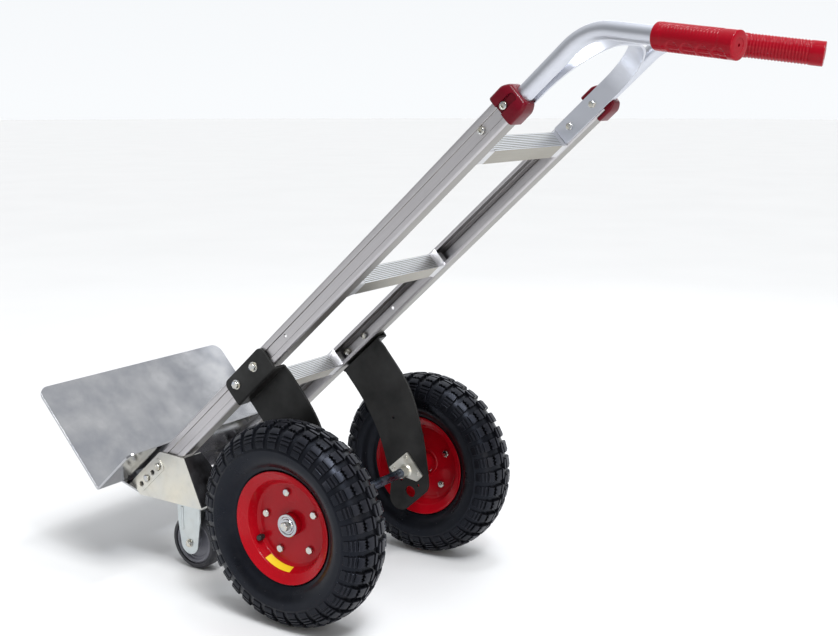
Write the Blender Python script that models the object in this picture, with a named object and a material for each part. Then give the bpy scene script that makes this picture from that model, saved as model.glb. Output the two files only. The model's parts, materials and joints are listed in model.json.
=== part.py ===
"""Self-standing aluminium hand truck: ladder frame, two bent handles, toe plate, two pneumatic
wheels on a fixed axle and two small rigid castors. Metres, +Z up, +Y towards the handles."""

import math

import bmesh
import bpy
from mathutils import Matrix, Vector

# Clearance between pieces that touch on the real object
GAP = 0.0003

# Stance: the frame leans back on its four wheels
FRAME_TILT = math.radians(42.4)
TYRE_RADIUS = 0.165

# Stiles. Frame coordinates are x across, s up the stile from the axle, h towards the load.
STILE_OUTER_X = 0.151
STILE_INNER_X = 0.122
STILE_REAR_H = 0.221
STILE_FRONT_H = 0.258
STILE_BOTTOM_S = -0.2895
STILE_TOP_S = 0.700
STILE_WALL = 0.0017
STILE_FLANGE = 0.0025
STILE_GROOVE = 0.002
STILE_GROOVE_HALF = 0.007
STILE_CORNER = 0.004
STILE_LIP = 0.0065

# Cross members
RUNG_TOPS_S = {"lower": 0.017, "middle": 0.313, "upper": 0.619}
RUNG_HEIGHT = 0.028
RUNG_REAR_H = 0.2225
RUNG_FRONT_H = 0.2505
RUNG_END_X = 0.104
RUNG_WALL = 0.0025
SOCKET_PLUG_X = 0.140
SOCKET_FLARE = {"lower": 0.004, "middle": 0.004, "upper": 0.0}

# Handles
TUBE_X = 0.1345
TUBE_H = 0.2385
TUBE_RADIUS = 0.0124
TUBE_BORE = 0.0104
TUBE_START_S = 0.628
BEND_CORNER_S = 0.8405
BEND_RADIUS = 0.078
SPLAY = math.radians(12.5)
DROOP = math.radians(7.3)
GRIP_START = 0.107
GRIP_LENGTH = 0.114
GRIP_RADIUS = 0.0178
GRIP_END_WALL = 0.004

# Clamps and loop bar at the top of the stiles
CLAMP_LOW_S = 0.682
CLAMP_SHOULDER_S = 0.704
CLAMP_HIGH_S = 0.717
CLAMP_TAPER = 0.74
CLAMP_REAR_H = 0.2155
CLAMP_FRONT_H = 0.264
CLAMP_OUTER_X = 0.158
CLAMP_INNER_X = 0.1225
CLAMP_GROOVE_HALF = 0.0065
CLAMP_GROOVE_DEPTH = 0.004
CLAMP_CHAMFER = 0.006
SCREWS_S = {"clamp": 0.692, "handle": 0.642}
LOOP_BOTTOM_S = 0.6195
LOOP_CROWN_S = 0.833
LOOP_CORNER = 0.105
LOOP_THICKNESS = 0.004
LOOP_REAR_H = 0.2245
LOOP_FRONT_H = 0.2565

# Toe plate
TOE_HALF_WIDTH = 0.230
TOE_THICKNESS = 0.004
TOE_DEPTH = 0.220
TOE_TOP_S = -0.191
TOE_FOLD_S = -0.3050
TOE_TONGUE_H = 0.235

# Wheel brackets. Outline points are (s, h).
PLATE_THICKNESS = 0.004
PLATE_INNER_X = 0.127
BRACKET_LOW_S = 0.006
BRACKET_HIGH_S = 0.112
BRACKET_BOLTS_S = {"lower": 0.0275, "upper": 0.0785}
BRACKET_FRONT_CURVE = [(0.008, 0.147), (-0.006, 0.083), (-0.0385, 0.0125), (-0.061, -0.012)]
BRACKET_TOE = {"centre": (-0.047, -0.030), "radius": 0.0225}
BRACKET_HEEL = {"centre": (0.003, -0.0285), "radius": 0.0240}
BRACKET_REAR_CURVE = [(0.029, -0.034), (0.0665, 0.022), (0.105, 0.1055), (0.1125, 0.187)]
BRACKET_NECK_S = (0.011, 0.1115)
SPARE_AXLE_HOLE = (-0.021, -0.0335)
SPARE_AXLE_HOLE_RADIUS = 0.0105
SMALL_HOLES = [(0.0415, 0.0875), (-0.0215, -0.0060), (0.0013, -0.0342)]
SMALL_HOLE_RADIUS = 0.0028

# Axle and wheels
FLANGE_OUTLINE = [
    (0.025, 0.024), (-0.027, 0.0245), (-0.026, 0.013), (0.0066, -0.0274), (0.024, -0.027),
]
FLANGE_THICKNESS = 0.003
AXLE_RADIUS = 0.008
AXLE_HALF_LENGTH = 0.203
COLLAR_RADIUS = 0.0099
COLLAR_LENGTH = 0.018
WHEEL_X = 0.191
RIM_RADIUS = 0.0904
RIM_HALF_WIDTH = 0.0301
RIM_SHEET = 0.0025
TYRE_HALF_WIDTH = 0.044
TYRE_SEGMENTS = 32
HUB_INNER_X = 0.1335
HUB_OUTER_X = 0.2035
HUB_RADIUS = 0.0185
HUB_BORE = 0.0145
END_WASHER_RADIUS = 0.0193
END_HEAD_RADIUS = 0.0075
END_HEAD_X = 0.2145
END_WASHER_THICKNESS = 0.003
BEARING_WIDTH = 0.010

# Castors and their brackets, in world directions: y along, z up
CASTOR_Y = -0.287
CASTOR_RADIUS = 0.050
CASTOR_X = 0.107
FORK_HALF_WIDTH = 0.023
FORK_WALL = 0.003
FORK_TOP_Z = 0.1289
FORK_LEG_HALF = 0.026
FORK_FOOT_RADIUS = 0.020
FORK_SHOULDER_Z = 0.090
FORK_PLATE_HALF_Y = 0.040
FORK_PLATE_MARGIN = 0.004
CASTOR_HALF_WIDTH = 0.015
CASTOR_TREAD_INNER = 0.0395
CASTOR_HUB_HALF = 0.018
CASTOR_HUB_RADIUS = 0.012
CASTOR_BORE = 0.0045
SHEET = 0.003
SHELF_Z = 0.1292
CHEEK_INNER_X = STILE_OUTER_X + GAP
SHELF_INNER_X = 0.079
SHELF_FRONT_Y = -0.3785
SHELF_REAR_Y = -0.231
CHEEK_PEAK = (-0.2685, 0.2140)
CHEEK_REAR_S = -0.206
CHEEK_BOLTS_S = {"upper": -0.2285, "lower": -0.2665}
REAR_WALL_INNER_X = 0.0975
REAR_WALL_TOP_X = 0.1127
REAR_WALL_CORNER = 0.65

# Fasteners: (radius, height) of each head and nut
BOLT_SHANK = 0.0036
BOLT_HOLE = 0.0041
BOLT_CENTRE_H = 0.241
FRAME_SCREW_HEAD = (0.0060, 0.005)
BRACKET_BOLT_HEAD = (0.0075, 0.0055)
CASTOR_BOLT_HEAD = (0.0065, 0.005)

# How far a cutter runs past the wall it cuts
CUT = 0.008
SIDES = {"left": 1, "right": -1}


def clear_scene():
    for obj in list(bpy.data.objects):
        bpy.data.objects.remove(obj, do_unlink=True)


def make_material(name, colour, roughness, metallic=0.0):
    material = bpy.data.materials.new(name)
    material.use_nodes = True
    shader = material.node_tree.nodes["Principled BSDF"]
    shader.inputs["Base Color"].default_value = (*colour, 1.0)
    shader.inputs["Roughness"].default_value = roughness
    shader.inputs["Metallic"].default_value = metallic
    return material


def make_empty(name, parent=None, location=(0, 0, 0), tilt=0.0):
    empty = bpy.data.objects.new(name, None)
    bpy.context.scene.collection.objects.link(empty)
    empty.parent = parent
    empty.location = location
    empty.rotation_euler = (tilt, 0, 0)
    return empty


def add_object(name, mesh_data, material, parent):
    """Link a bmesh as a closed, outward-facing object under its parent."""
    bmesh.ops.remove_doubles(mesh_data, verts=mesh_data.verts, dist=1e-6)
    bmesh.ops.recalc_face_normals(mesh_data, faces=mesh_data.faces)
    mesh = bpy.data.meshes.new(name)
    mesh_data.to_mesh(mesh)
    mesh_data.free()
    mesh.materials.append(material)
    mesh.shade_smooth()
    mesh.set_sharp_from_angle(angle=math.radians(35))
    obj = bpy.data.objects.new(name, mesh)
    bpy.context.scene.collection.objects.link(obj)
    obj.parent = parent
    return obj


def oriented(axis, a, b, depth):
    """A point from its two outline coordinates and its depth along the extrusion axis."""
    return {"x": (depth, a, b), "y": (a, depth, b), "z": (a, b, depth)}[axis]


def prism_mesh(outline, axis, low, high):
    mesh_data = bmesh.new()
    rings = []
    for depth in (low, high):
        rings.append([mesh_data.verts.new(oriented(axis, a, b, depth)) for a, b in outline])
    mesh_data.faces.new(rings[0])
    mesh_data.faces.new(rings[1])
    for i in range(len(outline)):
        j = (i + 1) % len(outline)
        mesh_data.faces.new((rings[0][i], rings[0][j], rings[1][j], rings[1][i]))
    return mesh_data


def prism(name, outline, axis, low, high, material, parent):
    return add_object(name, prism_mesh(outline, axis, low, high), material, parent)


def lofted(name, rings, material, parent):
    """A closed body through equal-length rings of points."""
    mesh_data = bmesh.new()
    rows = [[mesh_data.verts.new(point) for point in ring] for ring in rings]
    for first, second in zip(rows, rows[1:]):
        for i in range(len(first)):
            j = (i + 1) % len(first)
            mesh_data.faces.new((first[i], first[j], second[j], second[i]))
    mesh_data.faces.new(rows[0])
    mesh_data.faces.new(rows[-1])
    return add_object(name, mesh_data, material, parent)


def turned_mesh(profile, segments, closed):
    """Turn (x, radius) points about X. A flat lies at the bottom, between two segments."""
    mesh_data = bmesh.new()
    rows = []
    for i in range(segments):
        angle = 2 * math.pi * (i + 0.5) / segments
        rows.append(
            [mesh_data.verts.new((x, r * math.sin(angle), -r * math.cos(angle))) for x, r in profile]
        )
    for i in range(segments):
        here = rows[i]
        there = rows[(i + 1) % segments]
        for k in range(len(profile) if closed else len(profile) - 1):
            n = (k + 1) % len(profile)
            corners = [here[k], there[k], there[n], here[n]]
            if profile[k][1] == 0:
                corners.remove(there[k])
            if profile[n][1] == 0:
                corners.remove(there[n])
            if len(corners) > 2:
                mesh_data.faces.new(corners)
    return mesh_data


def turned(name, profile, segments, material, parent, closed=True):
    return add_object(name, turned_mesh(profile, segments, closed), material, parent)


def sided(profile, side):
    """The profile with its x mirrored for the right-hand side."""
    return [(side * x, r) for x, r in profile]


def combine(obj, other, operation):
    other.hide_render = True
    other.display_type = "WIRE"
    modifier = obj.modifiers.new(other.name, "BOOLEAN")
    modifier.operation = operation
    modifier.solver = "EXACT"
    modifier.object = other


def drill(obj, name, centre, radius, wall, parent, segments=8):
    """Cut a round hole through obj's wall, which lies between two x, at (y, z) of the parent."""
    low, high = min(wall) - CUT, max(wall) + CUT
    profile = [(low, 0), (low, radius), (high, radius), (high, 0)]
    cutter = turned(name, profile, segments, obj.data.materials[0], parent, closed=False)
    cutter.location = (0, *centre)
    combine(obj, cutter, "DIFFERENCE")


def arc(centre, radius, start, end, steps):
    """Points of an arc, both ends included, with angles in degrees."""
    points = []
    for i in range(steps + 1):
        angle = math.radians(start + (end - start) * i / steps)
        points.append((centre[0] + radius * math.cos(angle), centre[1] + radius * math.sin(angle)))
    return points


def through_bolt(name, side, x_nut, x_head, centre, head, material, parent):
    """A bolt along X: nut, shank and head in one body. head is (radius, height)."""
    radius, height = head
    profile = [
        (x_nut - height, 0),
        (x_nut - height, radius),
        (x_nut, radius),
        (x_nut, BOLT_SHANK),
        (x_head, BOLT_SHANK),
        (x_head, radius),
        (x_head + height, radius),
        (x_head + height, 0),
    ]
    bolt = turned(name, sided(profile, side), 6, material, parent, closed=False)
    bolt.location = (0, *centre)
    return bolt


def stile_outline(side):
    """Open channel with its mouth inwards, rounded outer corners and a grooved outer face."""
    outer, inner = STILE_OUTER_X, STILE_INNER_X
    rear, front = STILE_REAR_H, STILE_FRONT_H
    r = STILE_CORNER
    middle = (rear + front) / 2
    half_groove = STILE_GROOVE_HALF
    slope = 0.001
    web = outer - STILE_WALL
    points = arc((outer - r, rear + r), r, -90, 0, 2)
    points += [(outer, middle - half_groove - slope), (outer - STILE_GROOVE, middle - half_groove)]
    points += [(outer - STILE_GROOVE, middle + half_groove), (outer, middle + half_groove + slope)]
    points += arc((outer - r, front - r), r, 0, 90, 2)
    points += arc((inner + r, front - r), r, 90, 180, 2)
    points += [(inner, front - STILE_LIP), (inner + STILE_WALL, front - STILE_LIP)]
    points += [(inner + STILE_WALL, front - r), (inner + r, front - STILE_FLANGE)]
    points += [(web, front - STILE_FLANGE), (web, middle + half_groove + 2 * slope)]
    points += [(web - STILE_GROOVE, middle + half_groove), (web - STILE_GROOVE, middle - half_groove)]
    points += [(web, middle - half_groove - 2 * slope), (web, rear + STILE_FLANGE)]
    points += [(inner + r, rear + STILE_FLANGE), (inner + STILE_WALL, rear + r)]
    points += [(inner + STILE_WALL, rear + STILE_LIP), (inner, rear + STILE_LIP)]
    points += arc((inner + r, rear + r), r, 180, 270, 2)[:-1]
    points += [(inner + r, rear)]
    return [(side * x, h) for x, h in points]


def make_stiles(frame, alloy):
    for label, side in SIDES.items():
        name = "stile_" + label
        stile = prism(name, stile_outline(side), "y", STILE_BOTTOM_S, STILE_TOP_S, alloy, frame)
        web = (side * (STILE_OUTER_X - STILE_GROOVE - STILE_WALL), side * STILE_OUTER_X)
        holes = [*SCREWS_S.values(), *BRACKET_BOLTS_S.values(), *CHEEK_BOLTS_S.values()]
        for i, s in enumerate(holes):
            drill(stile, f"{name}_hole_{i}", (s, BOLT_CENTRE_H), BOLT_HOLE, web, frame)


def make_rungs(frame, alloy, casting):
    """Box-section rungs, each held between two sockets that plug into the stiles."""
    rear, front = RUNG_REAR_H, RUNG_FRONT_H
    reach = RUNG_END_X - GAP
    for label, top in RUNG_TOPS_S.items():
        low = top - RUNG_HEIGHT
        outline = [(low, rear), (top, rear), (top, front), (low, front)]
        rung = prism("rung_" + label, outline, "x", -reach, reach, alloy, frame)
        inside = [(low + RUNG_WALL, rear + RUNG_WALL), (top - RUNG_WALL, rear + RUNG_WALL)]
        inside += [(top - RUNG_WALL, front - RUNG_WALL), (low + RUNG_WALL, front - RUNG_WALL)]
        bore = prism(f"rung_{label}_bore", inside, "x", -2 * reach, 2 * reach, alloy, frame)
        combine(rung, bore, "DIFFERENCE")
        for side_label, side in SIDES.items():
            make_rung_socket(label, side_label, side, (low, top), frame, casting)


def make_rung_socket(label, side_label, side, span, frame, casting):
    """Cast end: a neck the size of the rung that flares to the stile, and a plug inside it."""
    low, top = span
    flare = SOCKET_FLARE[label]
    face = STILE_INNER_X - GAP
    plug_low = STILE_REAR_H + STILE_LIP + GAP
    plug_high = STILE_FRONT_H - STILE_LIP - GAP
    sections = [
        (RUNG_END_X, low, top, RUNG_REAR_H, RUNG_FRONT_H),
        (face, low - flare, top + flare, STILE_REAR_H + 0.001, STILE_FRONT_H - 0.001),
        (face, low, top - flare / 2, plug_low, plug_high),
        (SOCKET_PLUG_X, low, top - flare / 2, plug_low, plug_high),
    ]
    rings = []
    for x, s0, s1, h0, h1 in sections:
        rings.append([(side * x, s0, h0), (side * x, s1, h0), (side * x, s1, h1), (side * x, s0, h1)])
    lofted(f"rung_socket_{label}_{side_label}", rings, casting, frame)


def handle_line(side):
    """Centre line of one handle in frame coordinates, and the grip's direction and start."""
    tilt = Matrix.Rotation(-FRAME_TILT, 3, "X")
    along = tilt @ Vector((
        side * math.sin(SPLAY) * math.cos(DROOP),
        math.cos(SPLAY) * math.cos(DROOP),
        -math.sin(DROOP),
    ))
    up = Vector((0, 1, 0))
    corner = Vector((side * TUBE_X, BEND_CORNER_S, TUBE_H))
    turn = up.angle(along)
    reach = BEND_RADIUS * math.tan(turn / 2)
    start = corner - up * reach
    inward = (along - up * up.dot(along)).normalized()
    centre = start + inward * BEND_RADIUS
    points = [Vector((side * TUBE_X, TUBE_START_S, TUBE_H))]
    steps = 9
    for i in range(steps + 1):
        angle = turn * i / steps
        offset = up * math.sin(angle) - inward * math.cos(angle)
        points.append(centre + offset * BEND_RADIUS)
    points.append(corner + along * (GRIP_START + GRIP_LENGTH - 1.5 * GRIP_END_WALL))
    return points, along, corner + along * GRIP_START


def make_handle_tube(label, side, frame, alloy):
    points, _, _ = handle_line(side)
    segments = 14
    mesh_data = bmesh.new()
    shells = []
    for radius in (TUBE_RADIUS, TUBE_BORE):
        rows = []
        for i, point in enumerate(points):
            ahead = points[min(i + 1, len(points) - 1)] - points[max(i - 1, 0)]
            forward = ahead.normalized()
            across = forward.cross(Vector((0, 0, 1))).normalized()
            normal = across.cross(forward)
            row = []
            for k in range(segments):
                angle = 2 * math.pi * k / segments
                offset = across * math.cos(angle) + normal * math.sin(angle)
                row.append(mesh_data.verts.new(point + offset * radius))
            rows.append(row)
        for first, second in zip(rows, rows[1:]):
            bridge(mesh_data, first, second)
        shells.append(rows)
    bridge(mesh_data, shells[0][0], shells[1][0])
    bridge(mesh_data, shells[0][-1], shells[1][-1])
    tube = add_object("handle_tube_" + label, mesh_data, alloy, frame)
    walls = (side * (TUBE_X - TUBE_RADIUS), side * (TUBE_X + TUBE_RADIUS))
    for key, s in SCREWS_S.items():
        drill(tube, f"handle_tube_{label}_{key}_hole", (s, BOLT_CENTRE_H), BOLT_HOLE, walls, frame)


def bridge(mesh_data, first, second):
    for i in range(len(first)):
        j = (i + 1) % len(first)
        mesh_data.faces.new((first[i], first[j], second[j], second[i]))


def make_grip(label, side, frame, red):
    """A sleeve closed at its free end, pushed over the tube."""
    _, along, start = handle_line(side)
    bore = TUBE_RADIUS + GAP
    length = GRIP_LENGTH
    profile = [
        (0.0, bore), (0.0, GRIP_RADIUS - 0.001), (0.001, GRIP_RADIUS),
        (length - 0.001, GRIP_RADIUS), (length, GRIP_RADIUS - 0.001), (length, 0),
        (length - GRIP_END_WALL, 0), (length - GRIP_END_WALL, bore),
    ]
    grip = turned("grip_" + label, profile, 18, red, frame)
    grip.location = start
    grip.rotation_mode = "QUATERNION"
    grip.rotation_quaternion = Vector((1, 0, 0)).rotation_difference(along)


def clamp_outline():
    """Section of the collar in (x, h), with a groove for the screw in its outer face."""
    middle = BOLT_CENTRE_H
    low, high, outer = CLAMP_REAR_H, CLAMP_FRONT_H, CLAMP_OUTER_X
    chamfer = CLAMP_CHAMFER
    half = CLAMP_GROOVE_HALF
    floor = outer - CLAMP_GROOVE_DEPTH
    return [
        (CLAMP_INNER_X, low + chamfer), (CLAMP_INNER_X + chamfer, low), (outer - chamfer, low),
        (outer, low + chamfer), (outer, middle - half), (floor, middle - half + 0.001),
        (floor, middle + half - 0.001), (outer, middle + half), (outer, high - chamfer),
        (outer - chamfer, high), (CLAMP_INNER_X + chamfer, high), (CLAMP_INNER_X, high - chamfer),
    ]


def make_clamp(label, side, frame, red, zinc):
    """Collar round the top of the stile that narrows to a ring round the tube."""
    middle = BOLT_CENTRE_H
    rings = []
    for s, scale in ((CLAMP_LOW_S, 1.0), (CLAMP_SHOULDER_S, 1.0), (CLAMP_HIGH_S, CLAMP_TAPER)):
        rings.append([
            (side * (TUBE_X + scale * (x - TUBE_X)), s, TUBE_H + scale * (h - TUBE_H))
            for x, h in clamp_outline()
        ])
    clamp = lofted("clamp_" + label, rings, red, frame)
    mouth = side * (CLAMP_INNER_X - CUT)
    wall = side * (STILE_OUTER_X + GAP)
    pocket = [
        (mouth, STILE_REAR_H - GAP), (wall, STILE_REAR_H - GAP),
        (wall, STILE_FRONT_H + GAP), (mouth, STILE_FRONT_H + GAP),
    ]
    pocket_cutter = prism(f"clamp_{label}_pocket", pocket, "y", CLAMP_LOW_S - CUT,
                          STILE_TOP_S + GAP, red, frame)
    combine(clamp, pocket_cutter, "DIFFERENCE")
    bore = TUBE_RADIUS + GAP
    sides = 16
    ring_radius = bore / math.cos(math.pi / sides)
    ring = arc((side * TUBE_X, TUBE_H), ring_radius, 0, 360 * (sides - 1) / sides, sides - 1)
    bore_cutter = prism(f"clamp_{label}_bore", ring, "y", CLAMP_LOW_S - CUT,
                        CLAMP_HIGH_S + CUT, red, frame)
    combine(clamp, bore_cutter, "DIFFERENCE")
    drill(clamp, f"clamp_{label}_hole", (SCREWS_S["clamp"], middle), BOLT_HOLE,
          (wall, side * CLAMP_OUTER_X), frame)
    x_nut = STILE_INNER_X - GAP - LOOP_THICKNESS - GAP
    seats = {
        "clamp": CLAMP_OUTER_X - CLAMP_GROOVE_DEPTH + GAP,
        "handle": STILE_OUTER_X - STILE_GROOVE + GAP,
    }
    for key, s in SCREWS_S.items():
        through_bolt(f"{key}_screw_{label}", side, x_nut, seats[key], (s, middle),
                     FRAME_SCREW_HEAD, zinc, frame)


def make_loop_bar(frame, alloy):
    """Flat bar bent to an inverted U between the stiles."""
    outer = STILE_INNER_X - GAP
    centre = outer - LOOP_CORNER
    spring = LOOP_CROWN_S - LOOP_CORNER
    steps = 8
    half = [(outer, LOOP_BOTTOM_S)] + arc((centre, spring), LOOP_CORNER, 0, 90, steps)
    inner_radius = LOOP_CORNER - LOOP_THICKNESS
    inner = arc((centre, spring), inner_radius, 90, 0, steps)
    inner += [(outer - LOOP_THICKNESS, LOOP_BOTTOM_S)]
    outline = half + [(-x, s) for x, s in reversed(half)]
    outline += [(-x, s) for x, s in reversed(inner)] + inner
    bar = prism("loop_bar", outline, "z", LOOP_REAR_H, LOOP_FRONT_H, alloy, frame)
    for label, side in SIDES.items():
        leg = (side * (outer - LOOP_THICKNESS), side * outer)
        for key, s in SCREWS_S.items():
            drill(bar, f"loop_bar_{key}_hole_{label}", (s, BOLT_CENTRE_H), BOLT_HOLE, leg, frame)


def make_toe_plate(frame, steel):
    """Folded plate: a leg in front of the stiles and a blade square to them."""
    half = TOE_HALF_WIDTH
    back = STILE_FRONT_H + GAP
    tip = STILE_FRONT_H + TOE_DEPTH
    radius = 0.020
    blade = arc((half - radius, tip - radius), radius, 0, 90, 4)
    blade += [(-a, b) for a, b in reversed(blade)]
    blade += [(-half, back), (-STILE_OUTER_X, TOE_TONGUE_H)]
    blade += [(STILE_OUTER_X, TOE_TONGUE_H), (half, back)]
    plate = prism("toe_plate", blade, "y", TOE_FOLD_S - TOE_THICKNESS, TOE_FOLD_S, steel, frame)
    corner = 0.015
    top = TOE_TOP_S
    leg = arc((half - corner, top - corner), corner, 0, 90, 3)
    leg += [(-a, b) for a, b in reversed(leg)]
    leg += [(-half, TOE_FOLD_S - TOE_THICKNESS), (half, TOE_FOLD_S - TOE_THICKNESS)]
    leg = prism("toe_plate_leg", leg, "z", back, back + TOE_THICKNESS, steel, frame)
    combine(plate, leg, "UNION")


def smooth_curve(points, steps):
    """A Catmull-Rom curve through the points, both ends included."""
    padded = [points[0]] + points + [points[-1]]
    curve = [points[0]]
    for a, b, c, d in zip(padded, padded[1:], padded[2:], padded[3:]):
        for i in range(1, steps + 1):
            t = i / steps
            curve.append(tuple(
                b[k] + 0.5 * t * (c[k] - a[k] + t * (2 * a[k] - 5 * b[k] + 4 * c[k] - d[k]
                + t * (3 * (b[k] - c[k]) + d[k] - a[k])))
                for k in (0, 1)
            ))
    return curve


def wheel_bracket_outline():
    """Curved side plate in (s, h): from the stile's rear face down round the axle."""
    top = STILE_REAR_H - GAP
    front_neck, rear_neck = BRACKET_NECK_S
    front = smooth_curve([(front_neck, top), *BRACKET_FRONT_CURVE], 3)
    toe = arc(BRACKET_TOE["centre"], BRACKET_TOE["radius"], 140, 270, 4)
    heel = arc(BRACKET_HEEL["centre"], BRACKET_HEEL["radius"], 270, 325, 2)
    rear = smooth_curve([*BRACKET_REAR_CURVE, (rear_neck, top)], 3)
    return front + toe + heel + rear


def make_wheel_bracket(label, side, frame, black, zinc):
    low_x = PLATE_INNER_X
    high_x = low_x + PLATE_THICKNESS
    flange_low = STILE_OUTER_X + GAP
    flange_high = flange_low + PLATE_THICKNESS
    name = "wheel_bracket_" + label
    bracket = prism(name, wheel_bracket_outline(), "x", side * low_x, side * high_x, black, frame)
    web_top = STILE_REAR_H - GAP
    step = [
        (side * low_x, web_top - PLATE_THICKNESS), (side * flange_high, web_top - PLATE_THICKNESS),
        (side * flange_high, STILE_FRONT_H), (side * flange_low, STILE_FRONT_H),
        (side * flange_low, web_top), (side * low_x, web_top),
    ]
    web = prism(name + "_step", step, "y", BRACKET_LOW_S, BRACKET_HIGH_S, black, frame)
    combine(bracket, web, "UNION")
    plate = (side * low_x, side * high_x)
    flange = (side * flange_low, side * flange_high)
    drill(bracket, name + "_axle_hole", (0, 0), AXLE_RADIUS + 2 * GAP, plate, frame, segments=16)
    drill(bracket, name + "_spare_hole", SPARE_AXLE_HOLE, SPARE_AXLE_HOLE_RADIUS, plate, frame,
          segments=12)
    for i, centre in enumerate(SMALL_HOLES):
        drill(bracket, f"{name}_small_hole_{i}", centre, SMALL_HOLE_RADIUS, plate, frame)
    for key, s in BRACKET_BOLTS_S.items():
        drill(bracket, f"{name}_{key}_hole", (s, BOLT_CENTRE_H), BOLT_HOLE, flange, frame)
        through_bolt(f"bracket_bolt_{key}_{label}", side,
                     STILE_OUTER_X - STILE_GROOVE - STILE_WALL - GAP, flange_high + GAP,
                     (s, BOLT_CENTRE_H), BRACKET_BOLT_HEAD, zinc, frame)


def make_axle_flange(label, side, frame, zinc):
    """Triangular plate with a collar that takes the axle."""
    high = PLATE_INNER_X - GAP
    low = high - FLANGE_THICKNESS
    name = "axle_flange_" + label
    flange = prism(name, FLANGE_OUTLINE, "x", side * low, side * high, zinc, frame)
    start, end = low - COLLAR_LENGTH, high - GAP
    profile = [(start, 0), (start, COLLAR_RADIUS), (end, COLLAR_RADIUS), (end, 0)]
    collar = turned(name + "_collar", sided(profile, side), 16, zinc, frame, closed=False)
    combine(flange, collar, "UNION")
    drill(flange, name + "_bore", (0, 0), AXLE_RADIUS + 2 * GAP, (side * start, side * high),
          frame, segments=16)


def make_axle(frame, steel, zinc):
    reach = AXLE_HALF_LENGTH
    profile = [(-reach, 0), (-reach, AXLE_RADIUS), (reach, AXLE_RADIUS), (reach, 0)]
    turned("axle", profile, 16, steel, frame, closed=False)
    start = HUB_OUTER_X + GAP
    for label, side in SIDES.items():
        face = start + END_WASHER_THICKNESS
        cap = [
            (start, 0), (start, END_WASHER_RADIUS), (face, END_WASHER_RADIUS),
            (face, END_HEAD_RADIUS), (END_HEAD_X, END_HEAD_RADIUS), (END_HEAD_X, 0),
        ]
        turned("axle_end_bolt_" + label, sided(cap, side), 12, zinc, frame, closed=False)


def rim_profile(half):
    """Pressed half rim: flat disc, conical well and flared lip. half is 1 outer, -1 inner."""
    face = [
        (RIM_SHEET, HUB_RADIUS + GAP), (RIM_SHEET, 0.0635), (0.0055, 0.0685), (0.0220, 0.0755),
        (RIM_HALF_WIDTH, RIM_RADIUS),
    ]
    back = [
        (0.0278, 0.0912), (0.0200, 0.0776), (0.0040, 0.0707), (GAP / 2, 0.0650),
        (GAP / 2, HUB_RADIUS + GAP),
    ]
    return [(half * x, r) for x, r in face + back]


def tyre_profile():
    """Both beads, the sidewalls and the crown, outside and then inside."""
    outer = [
        (0.0185, 0.0785), (0.0268, 0.0935), (0.0400, 0.1050), (TYRE_HALF_WIDTH, 0.1280),
        (0.0400, 0.1530), (0.0230, TYRE_RADIUS),
    ]
    inner = [(0.0160, 0.1540), (0.0340, 0.1400), (0.0340, 0.1150), (0.0150, 0.0960), (0.0110, 0.0785)]
    points = outer + [(-x, r) for x, r in reversed(outer)]
    points += [(-x, r) for x, r in reversed(inner)] + inner
    return points


def make_wheel(label, side, root, materials):
    """Everything that turns on one end of the axle."""
    pivot = make_empty("wheel_axis_" + label, root, (side * WHEEL_X, 0, TYRE_RADIUS))
    flat = math.cos(math.pi / TYRE_SEGMENTS)
    profile = [(x, r / flat if r == TYRE_RADIUS else r) for x, r in tyre_profile()]
    turned("tyre_" + label, profile, TYRE_SEGMENTS, materials["tyre"], pivot)
    turned("rim_outer_" + label, rim_profile(side), 20, materials["red_paint"], pivot)
    turned("rim_inner_" + label, rim_profile(-side), 20, materials["red_paint"], pivot)
    low = HUB_INNER_X - WHEEL_X
    high = HUB_OUTER_X - WHEEL_X
    hub = [(low, HUB_BORE), (low, HUB_RADIUS), (high, HUB_RADIUS), (high, HUB_BORE)]
    turned("hub_" + label, sided(hub, side), 16, materials["red_paint"], pivot)
    seats = {"inner": low + 0.001, "outer": high - 0.001 - BEARING_WIDTH}
    for place, start in seats.items():
        end = start + BEARING_WIDTH
        bore = AXLE_RADIUS + GAP
        ring = [(start, bore), (start, HUB_BORE - GAP), (end, HUB_BORE - GAP), (end, bore)]
        turned(f"bearing_{place}_{label}", sided(ring, side), 16, materials["steel"], pivot)


def cheek_outline():
    """The castor bracket's side plate, as (y, z) from the axle's foot on the floor."""
    toe_s = TOE_FOLD_S + GAP
    front = frame_to_side(toe_s, STILE_FRONT_H)
    shelf_h = (SHELF_Z - TYRE_RADIUS - toe_s * math.sin(FRAME_TILT)) / math.cos(FRAME_TILT)
    toe = frame_to_side(toe_s, shelf_h)
    rear = frame_to_side(CHEEK_REAR_S, STILE_FRONT_H)
    return [front, toe, (SHELF_REAR_Y, SHELF_Z), CHEEK_PEAK, rear]


def frame_to_side(s, h):
    """(y, z) of a frame point, measured from the point on the floor under the axle."""
    y = s * math.cos(FRAME_TILT) - h * math.sin(FRAME_TILT)
    z = TYRE_RADIUS + s * math.sin(FRAME_TILT) + h * math.cos(FRAME_TILT)
    return (y, z)


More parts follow.
